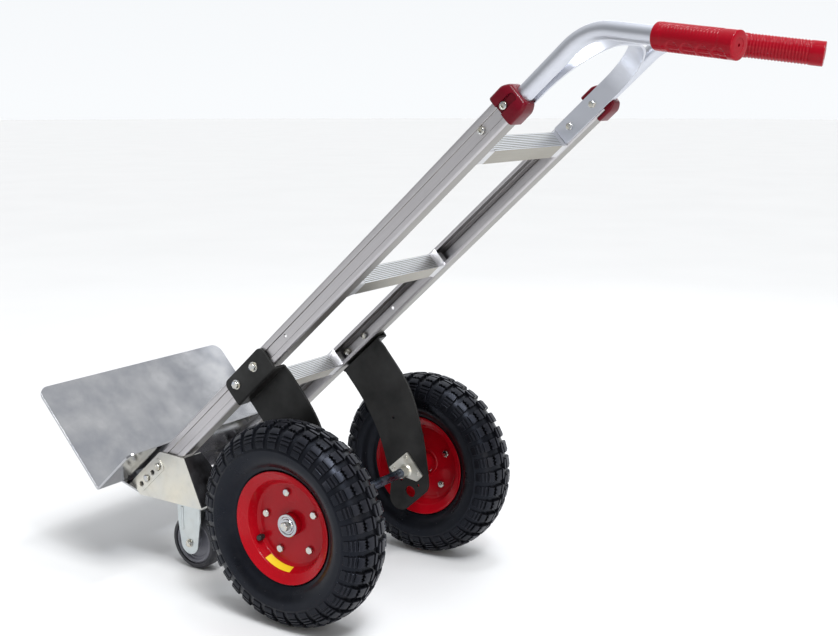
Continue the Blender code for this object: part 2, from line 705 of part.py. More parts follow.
def make_castor_bracket(label, side, frame, root, zinc):
    low_x = CHEEK_INNER_X
    high_x = low_x + SHEET
    name = "castor_bracket_" + label
    bracket = prism(name, cheek_outline(), "x", side * low_x, side * high_x, zinc, root)
    shelf = [
        (side * SHELF_INNER_X, SHELF_FRONT_Y), (side * high_x, SHELF_FRONT_Y),
        (side * high_x, SHELF_REAR_Y), (side * SHELF_INNER_X, SHELF_REAR_Y),
    ]
    shelf = prism(name + "_shelf", shelf, "z", SHELF_Z, SHELF_Z + SHEET, zinc, root)
    combine(bracket, shelf, "UNION")
    combine(bracket, make_rear_wall(name, side, high_x, zinc, root), "UNION")
    for place, s in CHEEK_BOLTS_S.items():
        drill(bracket, f"{name}_{place}_hole", frame_to_side(s, BOLT_CENTRE_H), BOLT_HOLE,
              (side * low_x, side * high_x), root)
        through_bolt(f"castor_bracket_bolt_{place}_{label}", side,
                     STILE_OUTER_X - STILE_GROOVE - STILE_WALL - GAP, high_x + GAP,
                     (s, BOLT_CENTRE_H), CASTOR_BOLT_HEAD, zinc, frame)


def make_rear_wall(name, side, high_x, zinc, root):
    """Sloping wall that folds inwards from the cheek's rear edge, its top inner corner cut off."""
    foot = Vector((0, SHELF_REAR_Y, SHELF_Z))
    head = Vector((0, *CHEEK_PEAK))
    inward = Vector((0, -SHEET, 0))
    outline = [(high_x, 0.0), (high_x, 1.0), (REAR_WALL_TOP_X, 1.0),
               (REAR_WALL_INNER_X, REAR_WALL_CORNER), (REAR_WALL_INNER_X, 0.0)]
    rings = []
    for offset in (Vector((0, 0, 0)), inward):
        rings.append([Vector((side * x, 0, 0)) + foot.lerp(head, t) + offset for x, t in outline])
    return lofted(name + "_wall", rings, zinc, root)


def make_castor_fork(label, side, root, zinc):
    """Pressed channel with two legs and a top plate."""
    name = "castor_fork_" + label
    axle = (CASTOR_Y, CASTOR_RADIUS)
    top = FORK_TOP_Z
    front, rear = CASTOR_Y - FORK_LEG_HALF, CASTOR_Y + FORK_LEG_HALF
    leg = arc(axle, FORK_FOOT_RADIUS, 190, 350, 6)
    leg += [(rear, FORK_SHOULDER_Z), (rear, top), (front, top), (front, FORK_SHOULDER_Z)]
    low_x = CASTOR_X - FORK_HALF_WIDTH
    high_x = CASTOR_X + FORK_HALF_WIDTH
    fork = prism(name, leg, "x", side * low_x, side * (low_x + FORK_WALL), zinc, root)
    outer = prism(name + "_outer_leg", leg, "x", side * (high_x - FORK_WALL), side * high_x,
                  zinc, root)
    plate_low, plate_high = side * (low_x - FORK_PLATE_MARGIN), side * (high_x + FORK_PLATE_MARGIN)
    plate_front, plate_rear = CASTOR_Y - FORK_PLATE_HALF_Y, CASTOR_Y + FORK_PLATE_HALF_Y
    plate = [(plate_low, plate_front), (plate_high, plate_front),
             (plate_high, plate_rear), (plate_low, plate_rear)]
    plate = prism(name + "_plate", plate, "z", top - FORK_WALL, top, zinc, root)
    combine(fork, plate, "UNION")
    combine(fork, outer, "UNION")
    drill(fork, name + "_hole", axle, BOLT_HOLE, (side * low_x, side * high_x), root)


def make_castor_wheel(label, side, root, materials):
    pivot = make_empty("castor_axis_" + label, root, (side * CASTOR_X, CASTOR_Y, CASTOR_RADIUS))
    tread = CASTOR_TREAD_INNER
    half = CASTOR_HALF_WIDTH
    segments = 24
    crown = CASTOR_RADIUS / math.cos(math.pi / segments)
    tyre = [(half - 0.003, tread + GAP), (half, 0.043), (half - 0.002, 0.0475), (half - 0.007, crown)]
    tyre += [(-x, r) for x, r in reversed(tyre)]
    turned("castor_tyre_" + label, tyre, segments, materials["grey_rubber"], pivot)
    hub = CASTOR_HUB_HALF
    core = [(hub, CASTOR_BORE), (hub, CASTOR_HUB_RADIUS), (0.006, CASTOR_HUB_RADIUS + 0.002),
            (0.006, 0.033), (half - 0.003, 0.036), (half - 0.003, tread)]
    core += [(-x, r) for x, r in reversed(core)]
    turned("castor_core_" + label, core, segments, materials["grey_plastic"], pivot)
    reach = FORK_HALF_WIDTH + GAP
    radius, head = CASTOR_BOLT_HEAD
    pin = [
        (-reach - head, 0), (-reach - head, radius), (-reach, radius), (-reach, BOLT_SHANK),
        (reach, BOLT_SHANK), (reach, radius), (reach + head, radius), (reach + head, 0),
    ]
    bolt = turned("castor_axle_bolt_" + label, pin, 6, materials["zinc"], root, closed=False)
    bolt.location = (side * CASTOR_X, CASTOR_Y, CASTOR_RADIUS)


def make_materials():
    return {
        "alloy": make_material("satin_aluminium", (0.62, 0.62, 0.64), 0.35, 1.0),
        "casting": make_material("cast_aluminium", (0.60, 0.60, 0.62), 0.45, 1.0),
        "red_plastic": make_material("red_plastic", (0.50, 0.01, 0.02), 0.25),
        "crimson_plastic": make_material("crimson_plastic", (0.30, 0.01, 0.03), 0.35),
        "red_paint": make_material("red_paint", (0.50, 0.02, 0.03), 0.25),
        "black_paint": make_material("black_powder_coat", (0.012, 0.012, 0.012), 0.35),
        "tyre": make_material("black_rubber", (0.02, 0.02, 0.022), 0.55),
        "zinc": make_material("zinc_plate", (0.70, 0.68, 0.62), 0.30, 1.0),
        "steel": make_material("bright_steel", (0.55, 0.56, 0.58), 0.30, 1.0),
        "grey_rubber": make_material("grey_rubber", (0.10, 0.10, 0.11), 0.60),
        "grey_plastic": make_material("grey_plastic", (0.35, 0.35, 0.36), 0.45),
    }


def centre_on_floor(root):
    """Move the whole object so that its origin is under the middle of its bounding box."""
    bpy.context.view_layer.update()
    values = []
    for obj in bpy.context.scene.collection.objects:
        if obj.type == "MESH" and not obj.hide_render:
            values += [(obj.matrix_world @ vertex.co).y for vertex in obj.data.vertices]
    root.location.y = -(min(values) + max(values)) / 2


def build():
    clear_scene()
    materials = make_materials()
    root = make_empty("trolley")
    frame = make_empty("frame_datum", root, (0, 0, TYRE_RADIUS), FRAME_TILT)
    alloy, zinc = materials["alloy"], materials["zinc"]
    make_stiles(frame, alloy)
    make_rungs(frame, alloy, materials["casting"])
    make_loop_bar(frame, alloy)
    make_toe_plate(frame, zinc)
    make_axle(frame, materials["steel"], zinc)
    for label, side in SIDES.items():
        make_handle_tube(label, side, frame, alloy)
        make_grip(label, side, frame, materials["red_plastic"])
        make_clamp(label, side, frame, materials["crimson_plastic"], zinc)
        make_wheel_bracket(label, side, frame, materials["black_paint"], zinc)
        make_axle_flange(label, side, frame, zinc)
        make_wheel(label, side, root, materials)
        make_castor_bracket(label, side, frame, root, zinc)
        make_castor_fork(label, side, root, zinc)
        make_castor_wheel(label, side, root, materials)
    centre_on_floor(root)


build()
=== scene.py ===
import json
import math

import bmesh
import bpy
import numpy as np
from mathutils import Matrix, Vector
from mathutils.geometry import delaunay_2d_cdt


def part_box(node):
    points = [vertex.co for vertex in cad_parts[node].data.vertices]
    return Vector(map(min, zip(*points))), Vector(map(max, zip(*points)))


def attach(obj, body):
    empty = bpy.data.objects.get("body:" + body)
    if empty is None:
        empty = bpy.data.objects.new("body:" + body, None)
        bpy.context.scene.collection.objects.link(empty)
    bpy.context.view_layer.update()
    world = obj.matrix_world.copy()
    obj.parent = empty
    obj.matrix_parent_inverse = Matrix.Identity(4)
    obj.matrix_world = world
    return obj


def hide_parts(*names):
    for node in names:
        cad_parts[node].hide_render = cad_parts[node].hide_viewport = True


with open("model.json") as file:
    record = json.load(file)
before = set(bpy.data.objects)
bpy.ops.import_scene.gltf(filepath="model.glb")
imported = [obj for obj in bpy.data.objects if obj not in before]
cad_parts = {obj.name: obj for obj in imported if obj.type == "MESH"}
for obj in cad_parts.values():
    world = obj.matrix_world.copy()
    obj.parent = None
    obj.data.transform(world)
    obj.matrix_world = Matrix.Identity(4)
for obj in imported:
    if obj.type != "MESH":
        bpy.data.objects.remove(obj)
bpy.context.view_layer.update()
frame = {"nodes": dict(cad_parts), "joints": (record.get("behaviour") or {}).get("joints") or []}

SIDES = {"left": 1, "right": -1}
GAP = 0.0003

# The frame leans back on its wheels. Frame coordinates: x across, s up the stile, h to the load.
TILT = math.radians(42.4)
AXLE = sum(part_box("axle"), Vector()) / 2
DATUM = Matrix.Translation(AXLE) @ Matrix.Rotation(TILT, 4, "X")
FLOOR_POINT = Matrix.Translation((0, AXLE.y, 0))


def span(node):
    """A CAD node's lowest and highest corners in frame coordinates."""
    to_frame = DATUM.inverted()
    corners = np.array([to_frame @ vertex.co for vertex in frame["nodes"][node].data.vertices])
    return Vector(corners.min(0)), Vector(corners.max(0))


def joint_matrix(name):
    for joint in frame["joints"]:
        if joint["name"] == name:
            return Matrix.Translation(joint["pos_m"])
    raise ValueError(name)


# ---------------------------------------------------------------- outlines and meshes


def fillet(points, radius, steps=4, closed=True):
    """The outline with rounded corners. radius is one number, or one for each point."""
    count = len(points)
    radii = radius if isinstance(radius, (list, tuple)) else [radius] * count
    rounded = []
    for i, point in enumerate(points):
        p = Vector(point)
        end = not closed and i in (0, count - 1)
        back = (Vector(points[i - 1]) - p).normalized()
        ahead = (Vector(points[(i + 1) % count]) - p).normalized()
        turn = back.angle(ahead, math.pi)
        if end or radii[i] == 0 or turn > math.radians(179):
            rounded.append(tuple(p))
            continue
        centre = p + (back + ahead).normalized() * radii[i] / math.sin(turn / 2)
        reach = radii[i] / math.tan(turn / 2)
        first = p + back * reach - centre
        last = p + ahead * reach - centre
        start = math.atan2(first.y, first.x)
        sweep = math.remainder(math.atan2(last.y, last.x) - start, 2 * math.pi)
        for k in range(steps + 1):
            angle = start + sweep * k / steps
            rounded.append((centre.x + radii[i] * math.cos(angle), centre.y + radii[i] * math.sin(angle)))
    return rounded


def arc(centre, radius, start, end, steps):
    """Points of an arc, both ends included, with angles in degrees."""
    points = []
    for i in range(steps + 1):
        angle = math.radians(start + (end - start) * i / steps)
        points.append((centre[0] + radius * math.cos(angle), centre[1] + radius * math.sin(angle)))
    return points


def smooth_curve(points, steps):
    """A Catmull-Rom curve through the points, both ends included."""
    padded = [points[0]] + list(points) + [points[-1]]
    curve = [tuple(points[0])]
    for a, b, c, d in zip(padded, padded[1:], padded[2:], padded[3:]):
        for i in range(1, steps + 1):
            t = i / steps
            curve.append(tuple(
                b[k] + 0.5 * t * (c[k] - a[k] + t * (2 * a[k] - 5 * b[k] + 4 * c[k] - d[k]
                + t * (3 * (b[k] - c[k]) + d[k] - a[k])))
                for k in range(len(b))
            ))
    return curve


def rectangle(low, high, radius, steps=4):
    corners = [low, (high[0], low[1]), high, (low[0], high[1])]
    return fillet(corners, radius, steps) if radius else corners


def circle(centre, radius, segments):
    return arc(centre, radius, 0, 360 * (segments - 1) / segments, segments - 1)


def oriented(axis, a, b, depth):
    """A point from its two outline coordinates and its depth along the extrusion axis."""
    return {"x": (depth, a, b), "y": (a, depth, b), "z": (a, b, depth)}[axis]


def lofted(rings, caps=True):
    """A body through equal-length rings of points."""
    mesh_data = bmesh.new()
    rows = [[mesh_data.verts.new(point) for point in ring] for ring in rings]
    for first, second in zip(rows, rows[1:]):
        for i in range(len(first)):
            j = (i + 1) % len(first)
            mesh_data.faces.new((first[i], first[j], second[j], second[i]))
    if caps:
        mesh_data.faces.new(rows[0])
        mesh_data.faces.new(rows[-1])
    return mesh_data


def prism(outline, axis, low, high):
    return lofted([[oriented(axis, a, b, depth) for a, b in outline] for depth in (low, high)])


def turned(profile, segments):
    """A closed section of (x, radius) points, turned about X."""
    rings = []
    for i in range(segments):
        angle = 2 * math.pi * i / segments
        rings.append([(x, r * math.sin(angle), -r * math.cos(angle)) for x, r in profile])
    return lofted(rings + rings[:1], caps=False)


def hex_radius(angle, radius):
    """Distance to the edge of a hexagon whose corners are radius from its centre."""
    sixth = math.pi / 3
    return radius * math.cos(sixth / 2) / math.cos(angle % sixth - sixth / 2)


def fastener(stations, segments=24):
    """A body about X through stations of (x, radius), or of (x, radius, "hex") for a hexagon."""
    rings = []
    for x, radius, *shape in stations:
        ring = []
        for i in range(segments):
            angle = 2 * math.pi * i / segments
            r = hex_radius(angle, radius) if shape else radius
            ring.append((x, r * math.sin(angle), r * math.cos(angle)))
        rings.append(ring)
    return lofted(rings)


def sided(side, rows):
    """The rows with their first coordinate on the given side."""
    return [(side * x, *rest) for x, *rest in rows]


def tube(points, radius, bore):
    """A hollow tube along a path of 3D points."""
    segments = 40
    angles = [2 * math.pi * k / segments for k in range(segments)]

    def ring(i, size):
        forward = (points[min(i + 1, len(points) - 1)] - points[max(i - 1, 0)]).normalized()
        across = forward.cross(Vector((0, 0, 1))).normalized()
        normal = across.cross(forward)
        return [points[i] + (across * math.cos(angle) + normal * math.sin(angle)) * size for angle in angles]

    order = range(len(points))
    rings = [ring(i, radius) for i in order] + [ring(i, bore) for i in reversed(order)]
    return lofted(rings + rings[:1], caps=False)


def inside(points, loop):
    """For each 2D point, whether the loop encloses it."""
    x, y = points[:, 0], points[:, 1]
    crossed = np.zeros(len(points), bool)
    for (x0, y0), (x1, y1) in zip(loop, loop[1:] + loop[:1]):
        if y0 != y1:
            crossed ^= ((y0 > y) != (y1 > y)) & (x < (x1 - x0) * (y - y0) / (y1 - y0) + x0)
    return crossed


def tessellate(loops, lines):
    """Triangles inside the first loop and outside the others. Each line is cut in as an edge."""
    coords, edges = [], []
    for loop in loops:
        start, count = len(coords), len(loop)
        coords += [Vector(p) for p in loop]
        edges += [(start + i, start + (i + 1) % count) for i in range(count)]
    for line in lines:
        edges.append((len(coords), len(coords) + 1))
        coords += [Vector(p) for p in line]
    points, _, faces, *_ = delaunay_2d_cdt(coords, edges, [], 0, 1e-7)
    points = np.array(points)
    centres = np.array([points[face].mean(0) for face in faces])
    enclosed = np.zeros(len(faces), bool)
    for loop in loops:
        enclosed ^= inside(centres, [tuple(p) for p in loop])
    return points, [face for face, kept in zip(faces, enclosed) if kept]


def sheet(loops, thickness, place, lines=()):
    """A plate with holes. place(u, v, t) puts a point of the flat pattern in space, t into the sheet."""
    points, triangles = tessellate(loops, lines)
    mesh_data = bmesh.new()
    used = sorted({i for triangle in triangles for i in triangle})
    near = {i: mesh_data.verts.new(place(*points[i], 0.0)) for i in used}
    far = {i: mesh_data.verts.new(place(*points[i], thickness)) for i in used}
    rim = {}
    for a, b, c in triangles:
        mesh_data.faces.new((near[a], near[b], near[c]))
        mesh_data.faces.new((far[a], far[c], far[b]))
        for edge in ((a, b), (b, c), (c, a)):
            if edge[::-1] in rim:
                del rim[edge[::-1]]
            else:
                rim[edge] = True
    for a, b in rim:
        mesh_data.faces.new((near[a], near[b], far[b], far[a]))
    return mesh_data


def folded(points, radius, steps):
    """A folded strip's section: a function from (distance along, offset) to 2D, and its fold lines."""
    line = [Vector(p) for p in fillet(points, radius, steps, closed=False)]
    lengths = [(b - a).length for a, b in zip(line, line[1:])]
    marks = np.concatenate([[0.0], np.cumsum(lengths)])
    flats = [(b - a).normalized() for a, b in zip(line, line[1:])]
    tangents = [flats[0]] + [(a + b).normalized() for a, b in zip(flats, flats[1:])] + [flats[-1]]

    def at(distance, offset):
        i = int(np.clip(np.searchsorted(marks, distance, side="right") - 1, 0, len(flats) - 1))
        part = (distance - marks[i]) / lengths[i]
        point = line[i].lerp(line[i + 1], part) if 0 <= part <= 1 else line[i] + flats[i] * part * lengths[i]
        tangent = tangents[i].lerp(tangents[i + 1], min(max(part, 0.0), 1.0))
        return point + Vector((-tangent.y, tangent.x)) * offset

    return at, list(marks)


def join(mesh_data, *others):
    """Move the other meshes into the first one."""
    for other in others:
        mesh = bpy.data.meshes.new("joined")
        other.to_mesh(mesh)
        other.free()
        mesh_data.from_mesh(mesh)
        bpy.data.meshes.remove(mesh)
    return mesh_data


def moved(mesh_data, matrix):
    mesh_data.transform(matrix)
    return mesh_data


# ---------------------------------------------------------------- pieces


def new_object(name, mesh_data, materials):
    bmesh.ops.remove_doubles(mesh_data, verts=mesh_data.verts, dist=1e-6)
    bmesh.ops.recalc_face_normals(mesh_data, faces=mesh_data.faces)
    mesh = bpy.data.meshes.new(name)
    mesh_data.to_mesh(mesh)
    mesh_data.free()
    for material in materials:
        mesh.materials.append(material)
    mesh.shade_smooth()
    obj = bpy.data.objects.new(name, mesh)
    bpy.context.scene.collection.objects.link(obj)
    return obj


def bake_modifiers(obj):
    """Give the object its evaluated mesh and drop its modifiers."""
    graph = bpy.context.evaluated_depsgraph_get()
    mesh = bpy.data.meshes.new_from_object(obj.evaluated_get(graph))
    old = obj.data
    obj.modifiers.clear()
    obj.data = mesh
    bpy.data.meshes.remove(old)


def combined(obj, mesh_data, operation):
    """Union with, or cut by, another mesh in the same coordinates."""
    other = new_object(obj.name + "_tool", mesh_data, obj.data.materials)
    boolean = obj.modifiers.new("boolean", "BOOLEAN")
    boolean.operation = operation
    boolean.solver = "EXACT"
    boolean.object = other
    bake_modifiers(obj)
    bpy.data.objects.remove(other)


def settle(obj, slot, body="frame", place=DATUM, edge=0.0, sharp=32, segments=2):
    """Put a finished object in the row frame, on its body, in place of the CAD node of its name."""
    obj.data.transform(place)
    if edge:
        bevel = obj.modifiers.new("edges", "BEVEL")
        bevel.width = edge
        bevel.segments = segments
        bevel.limit_method = "ANGLE"
        bevel.angle_limit = math.radians(40)
        bevel.harden_normals = True
    else:
        obj.data.set_sharp_from_angle(angle=math.radians(sharp))
        weighted = obj.modifiers.new("normals", "WEIGHTED_NORMAL")
        weighted.keep_sharp = True
    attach(obj, body)
    node = obj.name.partition(".")[0]
    if node in frame["nodes"]:
        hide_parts(node)


def piece(name, mesh_data, finish, **settings):
    settle(new_object(name, mesh_data, [MATERIALS[finish]]), SLOTS[finish], **settings)


# ---------------------------------------------------------------- materials


class Tree:
    """A node tree, with short calls to add and join nodes."""

    def __init__(self, tree):
        self.tree = tree

    def node(self, kind, values=(), **settings):
        made = self.tree.nodes.new(kind)
        for key, value in settings.items():
            setattr(made, key, value)
        for socket, value in dict(values).items():
            if isinstance(value, bpy.types.NodeSocket):
                self.tree.links.new(value, made.inputs[socket])
            else:
                made.inputs[socket].default_value = value
        return made

    def ramp(self, factor, stops):
        made = self.node("ShaderNodeValToRGB", {"Fac": factor})
        elements = made.color_ramp.elements
        while len(elements) < len(stops):
            elements.new(0.5)
        for element, (position, colour) in zip(elements, stops):
            element.position = position
            element.color = (*colour, 1.0)
        return made.outputs["Color"]

    def mix(self, factor, a, b, blend="MIX"):
        values = {0: factor, 6: a, 7: b}
        for socket in (6, 7):
            if isinstance(values[socket], tuple):
                values[socket] = (*values[socket], 1.0)
        return self.node("ShaderNodeMix", values, data_type="RGBA", blend_type=blend).outputs[2]


class Surface(Tree):
    """A material with a noise-driven shader."""

    def __init__(self, name, metallic=0.0, roughness=0.5, coat=0.0, coat_roughness=0.1, specular=0.5):
        self.material = bpy.data.materials.new(name)
        self.material.use_nodes = True
        super().__init__(self.material.node_tree)
        self.shader = self.tree.nodes["Principled BSDF"]
        for socket, value in (("Metallic", metallic), ("Roughness", roughness), ("Coat Weight", coat),
                              ("Coat Roughness", coat_roughness), ("Specular IOR Level", specular)):
            self.shader.inputs[socket].default_value = value
        self.where = self.node("ShaderNodeTexCoord").outputs["Object"]

    def stretched(self, where, scale):
        return self.node("ShaderNodeMapping", {"Vector": where, "Scale": scale}).outputs[0]

    def noise(self, scale, detail=4.0, where=None, roughness=0.55):
        return self.node("ShaderNodeTexNoise", {
            "Vector": where or self.where, "Scale": scale, "Detail": detail, "Roughness": roughness,
        }).outputs["Fac"]

    def span(self, factor, low, high, start=0.3, end=0.7):
        return self.node("ShaderNodeMapRange", {
            "Value": factor, "From Min": start, "From Max": end, "To Min": low, "To Max": high,
        }).outputs["Result"]

    def edges(self, low, high):
        """0 on flats and 1 on convex edges."""
        return self.span(self.node("ShaderNodeNewGeometry").outputs["Pointiness"], 0.0, 1.0, low, high)

    def set(self, socket, value):
        self.tree.links.new(value, self.shader.inputs[socket])

    def finish(self, colour, roughness, height, distance, strength):
        """Join the colour, the roughness and a bump of the given height field."""
        bump = self.node("ShaderNodeBump", {"Height": height, "Distance": distance, "Strength": strength})
        self.set("Base Color", colour)
        self.set("Roughness", roughness)
        self.set("Normal", bump.outputs["Normal"])
        return self.material


def drawn_alloy(name, across, dark, light):
    """Satin anodised extrusion with faint draw lines. They run along X if across, else up the stile."""
    m = Surface(name, metallic=1.0)
    stretch = 0.012
    if across:
        where = m.stretched(m.where, (stretch, 1.0, 1.0))
    else:
        upright = m.node("ShaderNodeMapping", {"Vector": m.where, "Rotation": (-TILT, 0, 0)}).outputs[0]
        where = m.stretched(upright, (1.0, stretch, 1.0))
    lines = m.noise(700.0, 2.0, where)
    return m.finish(m.mix(lines, dark, light), m.span(m.noise(5.0, 3.0), 0.32, 0.42), lines, 0.00002, 0.2)


def clouded_metal(name, clouds, stops, roughness, grain, bump):
    """Bare or plated metal: cloudy colour and roughness under a finer grain. Noises are (scale, detail)."""
    m = Surface(name, metallic=1.0)
    clouds = m.noise(*clouds)
    return m.finish(m.ramp(clouds, stops), m.span(clouds, *roughness), m.noise(*grain), *bump)


def zinc_sheet(name, cool, warm):
    """Zinc plate: cloudy, with a faint cream and blue cast."""
    m = Surface(name, metallic=1.0)
    clouds = m.noise(11.0, 5.0)
    spots = m.noise(95.0, 4.0)
    tint = m.ramp(clouds, [(0.30, cool), (0.70, warm)])
    colour = m.mix(m.span(spots, 0.0, 0.2, 0.5, 0.8), tint, (0.50, 0.48, 0.42))
    return m.finish(colour, m.span(spots, 0.30, 0.44), spots, 0.0001, 0.1)


def plastic(name, dark, light, roughness, clouds=(40.0, 5.0), grain=(900.0, 3.0), rub=(0.51, 0.6),
            bump=(0.0001, 0.3), specular=0.4, **coat):
    """Moulded plastic or rubber, lighter where its edges are rubbed. Roughness is its least and most."""
    m = Surface(name, specular=specular, **coat)
    clouds = m.noise(*clouds)
    colour = m.mix(m.edges(*rub), m.mix(clouds, dark, light), light)
    return m.finish(colour, m.span(clouds, *roughness), m.noise(*grain), *bump)


def glossy_plastic(name, dark, light, roughness):
    return plastic(name, dark, light, roughness, (22.0, 4.0), (700.0, 2.0), (0.50, 0.60), (0.00003, 0.1),
                   specular=0.08, coat=0.15, coat_roughness=0.04)


def red_paint():
    """Gloss paint on pressed steel, with a little orange peel and dust."""
    m = Surface("red_paint", specular=0.14, coat=0.14, coat_roughness=0.05)
    clouds = m.noise(16.0, 5.0)
    dust = m.noise(130.0, 6.0, roughness=0.7)
    base = m.mix(clouds, (0.34, 0.001, 0.006), (0.42, 0.003, 0.011))
    colour = m.mix(m.span(dust, 0.0, 0.05, 0.55, 0.8), base, (0.45, 0.14, 0.13))
    return m.finish(colour, m.span(clouds, 0.18, 0.30), m.noise(420.0, 1.0), 0.00012, 0.15)


def powder_coat():
    """Black powder coat, worn grey in places along its edges."""
    m = Surface("black_powder_coat", specular=0.13)
    clouds = m.noise(11.0, 5.0)
    worn = m.node("ShaderNodeMath", {0: m.edges(0.52, 0.60), 1: m.span(clouds, 0.0, 0.6)},
                  operation="MULTIPLY").outputs[0]
    base = m.mix(clouds, (0.0035, 0.0035, 0.0038), (0.0075, 0.0078, 0.0070))
    return m.finish(m.mix(worn, base, (0.06, 0.06, 0.06)), m.span(clouds, 0.28, 0.40), m.noise(1100.0, 2.0),
                    0.00008, 0.25)


def tyre_rubber():
    """Black rubber with a faint blue bloom and patches of dust, and a painted bluish highlight on its convex
    edges.
    """
    m = Surface("tyre_rubber", specular=0.22)
    clouds = m.noise(18.0, 5.0)
    base = m.mix(clouds, (0.0024, 0.0026, 0.0036), (0.0052, 0.0056, 0.0074))
    dusty = m.mix(m.span(m.noise(60.0, 6.0), 0.0, 0.25, 0.5, 0.8), base, (0.020, 0.019, 0.019))
    m.set("Specular Tint", m.mix(clouds, (0.62, 0.72, 1.0), (0.78, 0.84, 1.0)))
    # Convex edges get a lighter, bluer tone: a painted highlight.
    return m.finish(m.mix(m.edges(0.52, 0.62), dusty, (0.028, 0.028, 0.034)), m.span(clouds, 0.25, 0.36),
                    m.noise(800.0, 4.0), 0.00012, 0.3)


def make_materials():
    metals = {
        "tube": ("tube_alloy", (7.0, 3.0), [(0.3, (0.54, 0.56, 0.62)), (0.7, (0.62, 0.635, 0.68))],
                 (0.33, 0.40), (900.0, 2.0), (0.00002, 0.15)),
        "casting": ("cast_alloy", (14.0, 4.0), [(0.3, (0.56, 0.56, 0.58)), (0.7, (0.66, 0.66, 0.67))],
                    (0.36, 0.50), (900.0, 3.0), (0.0001, 0.25)),
        "bright_zinc": ("bright_zinc", (17.0, 5.0), [(0.3, (0.36, 0.37, 0.40)), (0.7, (0.52, 0.52, 0.53))],
                        (0.07, 0.20), (240.0, 3.0), (0.00004, 0.15)),
        # A near-black copy of the zinc for the castor bracket's sloping rear wall: a painted dark
        # reflection.
        "zinc_painted_dark_reflection": ("zinc_painted_dark_reflection", (26.0, 5.0), [(0.35, (0.055, 0.050, 0.052)), (0.75, (0.22, 0.22, 0.24))],
                      (0.08, 0.22), (60.0, 2.0), (0.0002, 0.15)),
        "zinc": ("zinc_bolt", (90.0, 3.0),
                 [(0.3, (0.42, 0.45, 0.50)), (0.55, (0.60, 0.575, 0.50)), (0.8, (0.64, 0.61, 0.53))],
                 (0.20, 0.32), (90.0, 3.0), (0.00002, 0.1)),
        "steel": ("bright_steel", (34.0, 5.0), [(0.3, (0.20, 0.26, 0.38)), (0.7, (0.36, 0.40, 0.48))],
                  (0.20, 0.34), (600.0, 2.0), (0.00003, 0.2)),
    }
    return {key: clouded_metal(*row) for key, row in metals.items()} | {
        "alloy": drawn_alloy("stile_alloy", False, (0.46, 0.445, 0.455), (0.55, 0.535, 0.55)),
        # A darker, warmer copy of the stile alloy: painted shade for the stiles' rear faces and groove
        # walls.
        "alloy_dull": drawn_alloy("stile_alloy_dull", False, (0.25, 0.24, 0.225), (0.34, 0.325, 0.31)),
        # Rung alloy in two copies: a light one for the rib tops, which is painted light, and a dark, warm
        # one for every other face, which is painted shade.
        "rung": drawn_alloy("rung_alloy", True, (0.72, 0.74, 0.76), (0.84, 0.86, 0.88)),
        "rung_dull": drawn_alloy("rung_alloy_dull", True, (0.25, 0.235, 0.20), (0.34, 0.32, 0.275)),
        "grip": glossy_plastic("grip_red", (0.24, 0.001, 0.007), (0.31, 0.002, 0.012), (0.12, 0.22)),
        "clamp": glossy_plastic("clamp_crimson", (0.085, 0.001, 0.006), (0.13, 0.003, 0.011), (0.26, 0.36)),
        "paint": red_paint(),
        "coat": powder_coat(),
        "rubber": tyre_rubber(),
        "zinc_sheet": zinc_sheet("zinc_sheet", (0.57, 0.58, 0.57), (0.70, 0.665, 0.57)),
        "fork_zinc": zinc_sheet("fork_zinc", (0.52, 0.57, 0.59), (0.62, 0.65, 0.64)),
        "castor_rubber": plastic("castor_rubber", (0.020, 0.020, 0.024), (0.042, 0.042, 0.050),
                                 (0.37, 0.53)),
        "castor_core": plastic("castor_plastic", (0.14, 0.14, 0.165), (0.22, 0.22, 0.25), (0.30, 0.46)),
        "black": plastic("black_plastic", (0.006, 0.006, 0.006), (0.018, 0.018, 0.018), (0.32, 0.48)),
        "label": plastic("yellow_label", (0.76, 0.50, 0.01), (0.84, 0.60, 0.02), (0.27, 0.43)),
    }


MATERIALS = make_materials()
SLOTS = {
    "tube": "alloy", "casting": "casting", "grip": "grips", "coat": "brackets", "paint": "rims",
    "label": "rims", "rubber": "tyres", "black": "tyres", "steel": "steel", "zinc": "zinc",
    "zinc_sheet": "zinc_sheet", "fork_zinc": "zinc_sheet", "castor_rubber": "castor_rubber",
    "castor_core": "castor_plastic",
}


# ---------------------------------------------------------------- ladder frame


def stile_outline(low, high):
    """Open channel with its mouth inwards and a grooved outer face, in (x, h)."""
    inner, outer = low.x, high.x
    middle, depth = (low.z + high.z) / 2, (high.z - low.z) / 2
    wall, flange, lip, groove, half = 0.0017, 0.0025, 0.0065, 0.0020, 0.007
    web = outer - wall
    # The front half from the outer groove to the inner one: x, distance from the middle, corner radius.
    front = [
        (outer - groove, half, 0.0006), (outer, half + 0.001, 0.0008), (outer, depth, 0.004),
        (inner, depth, 0.004), (inner, depth - lip, 0.0006), (inner + wall, depth - lip, 0.0006),
        (inner + wall, depth - flange, 0.0015), (web, depth - flange, 0.0015), (web, half + 0.002, 0.001),
        (web - groove, half, 0.001),
    ]
    points = [(x, middle + h, r) for x, h, r in front] + [(x, middle - h, r) for x, h, r in reversed(front)]
    return fillet([point[:2] for point in points], [point[2] for point in points], 4)


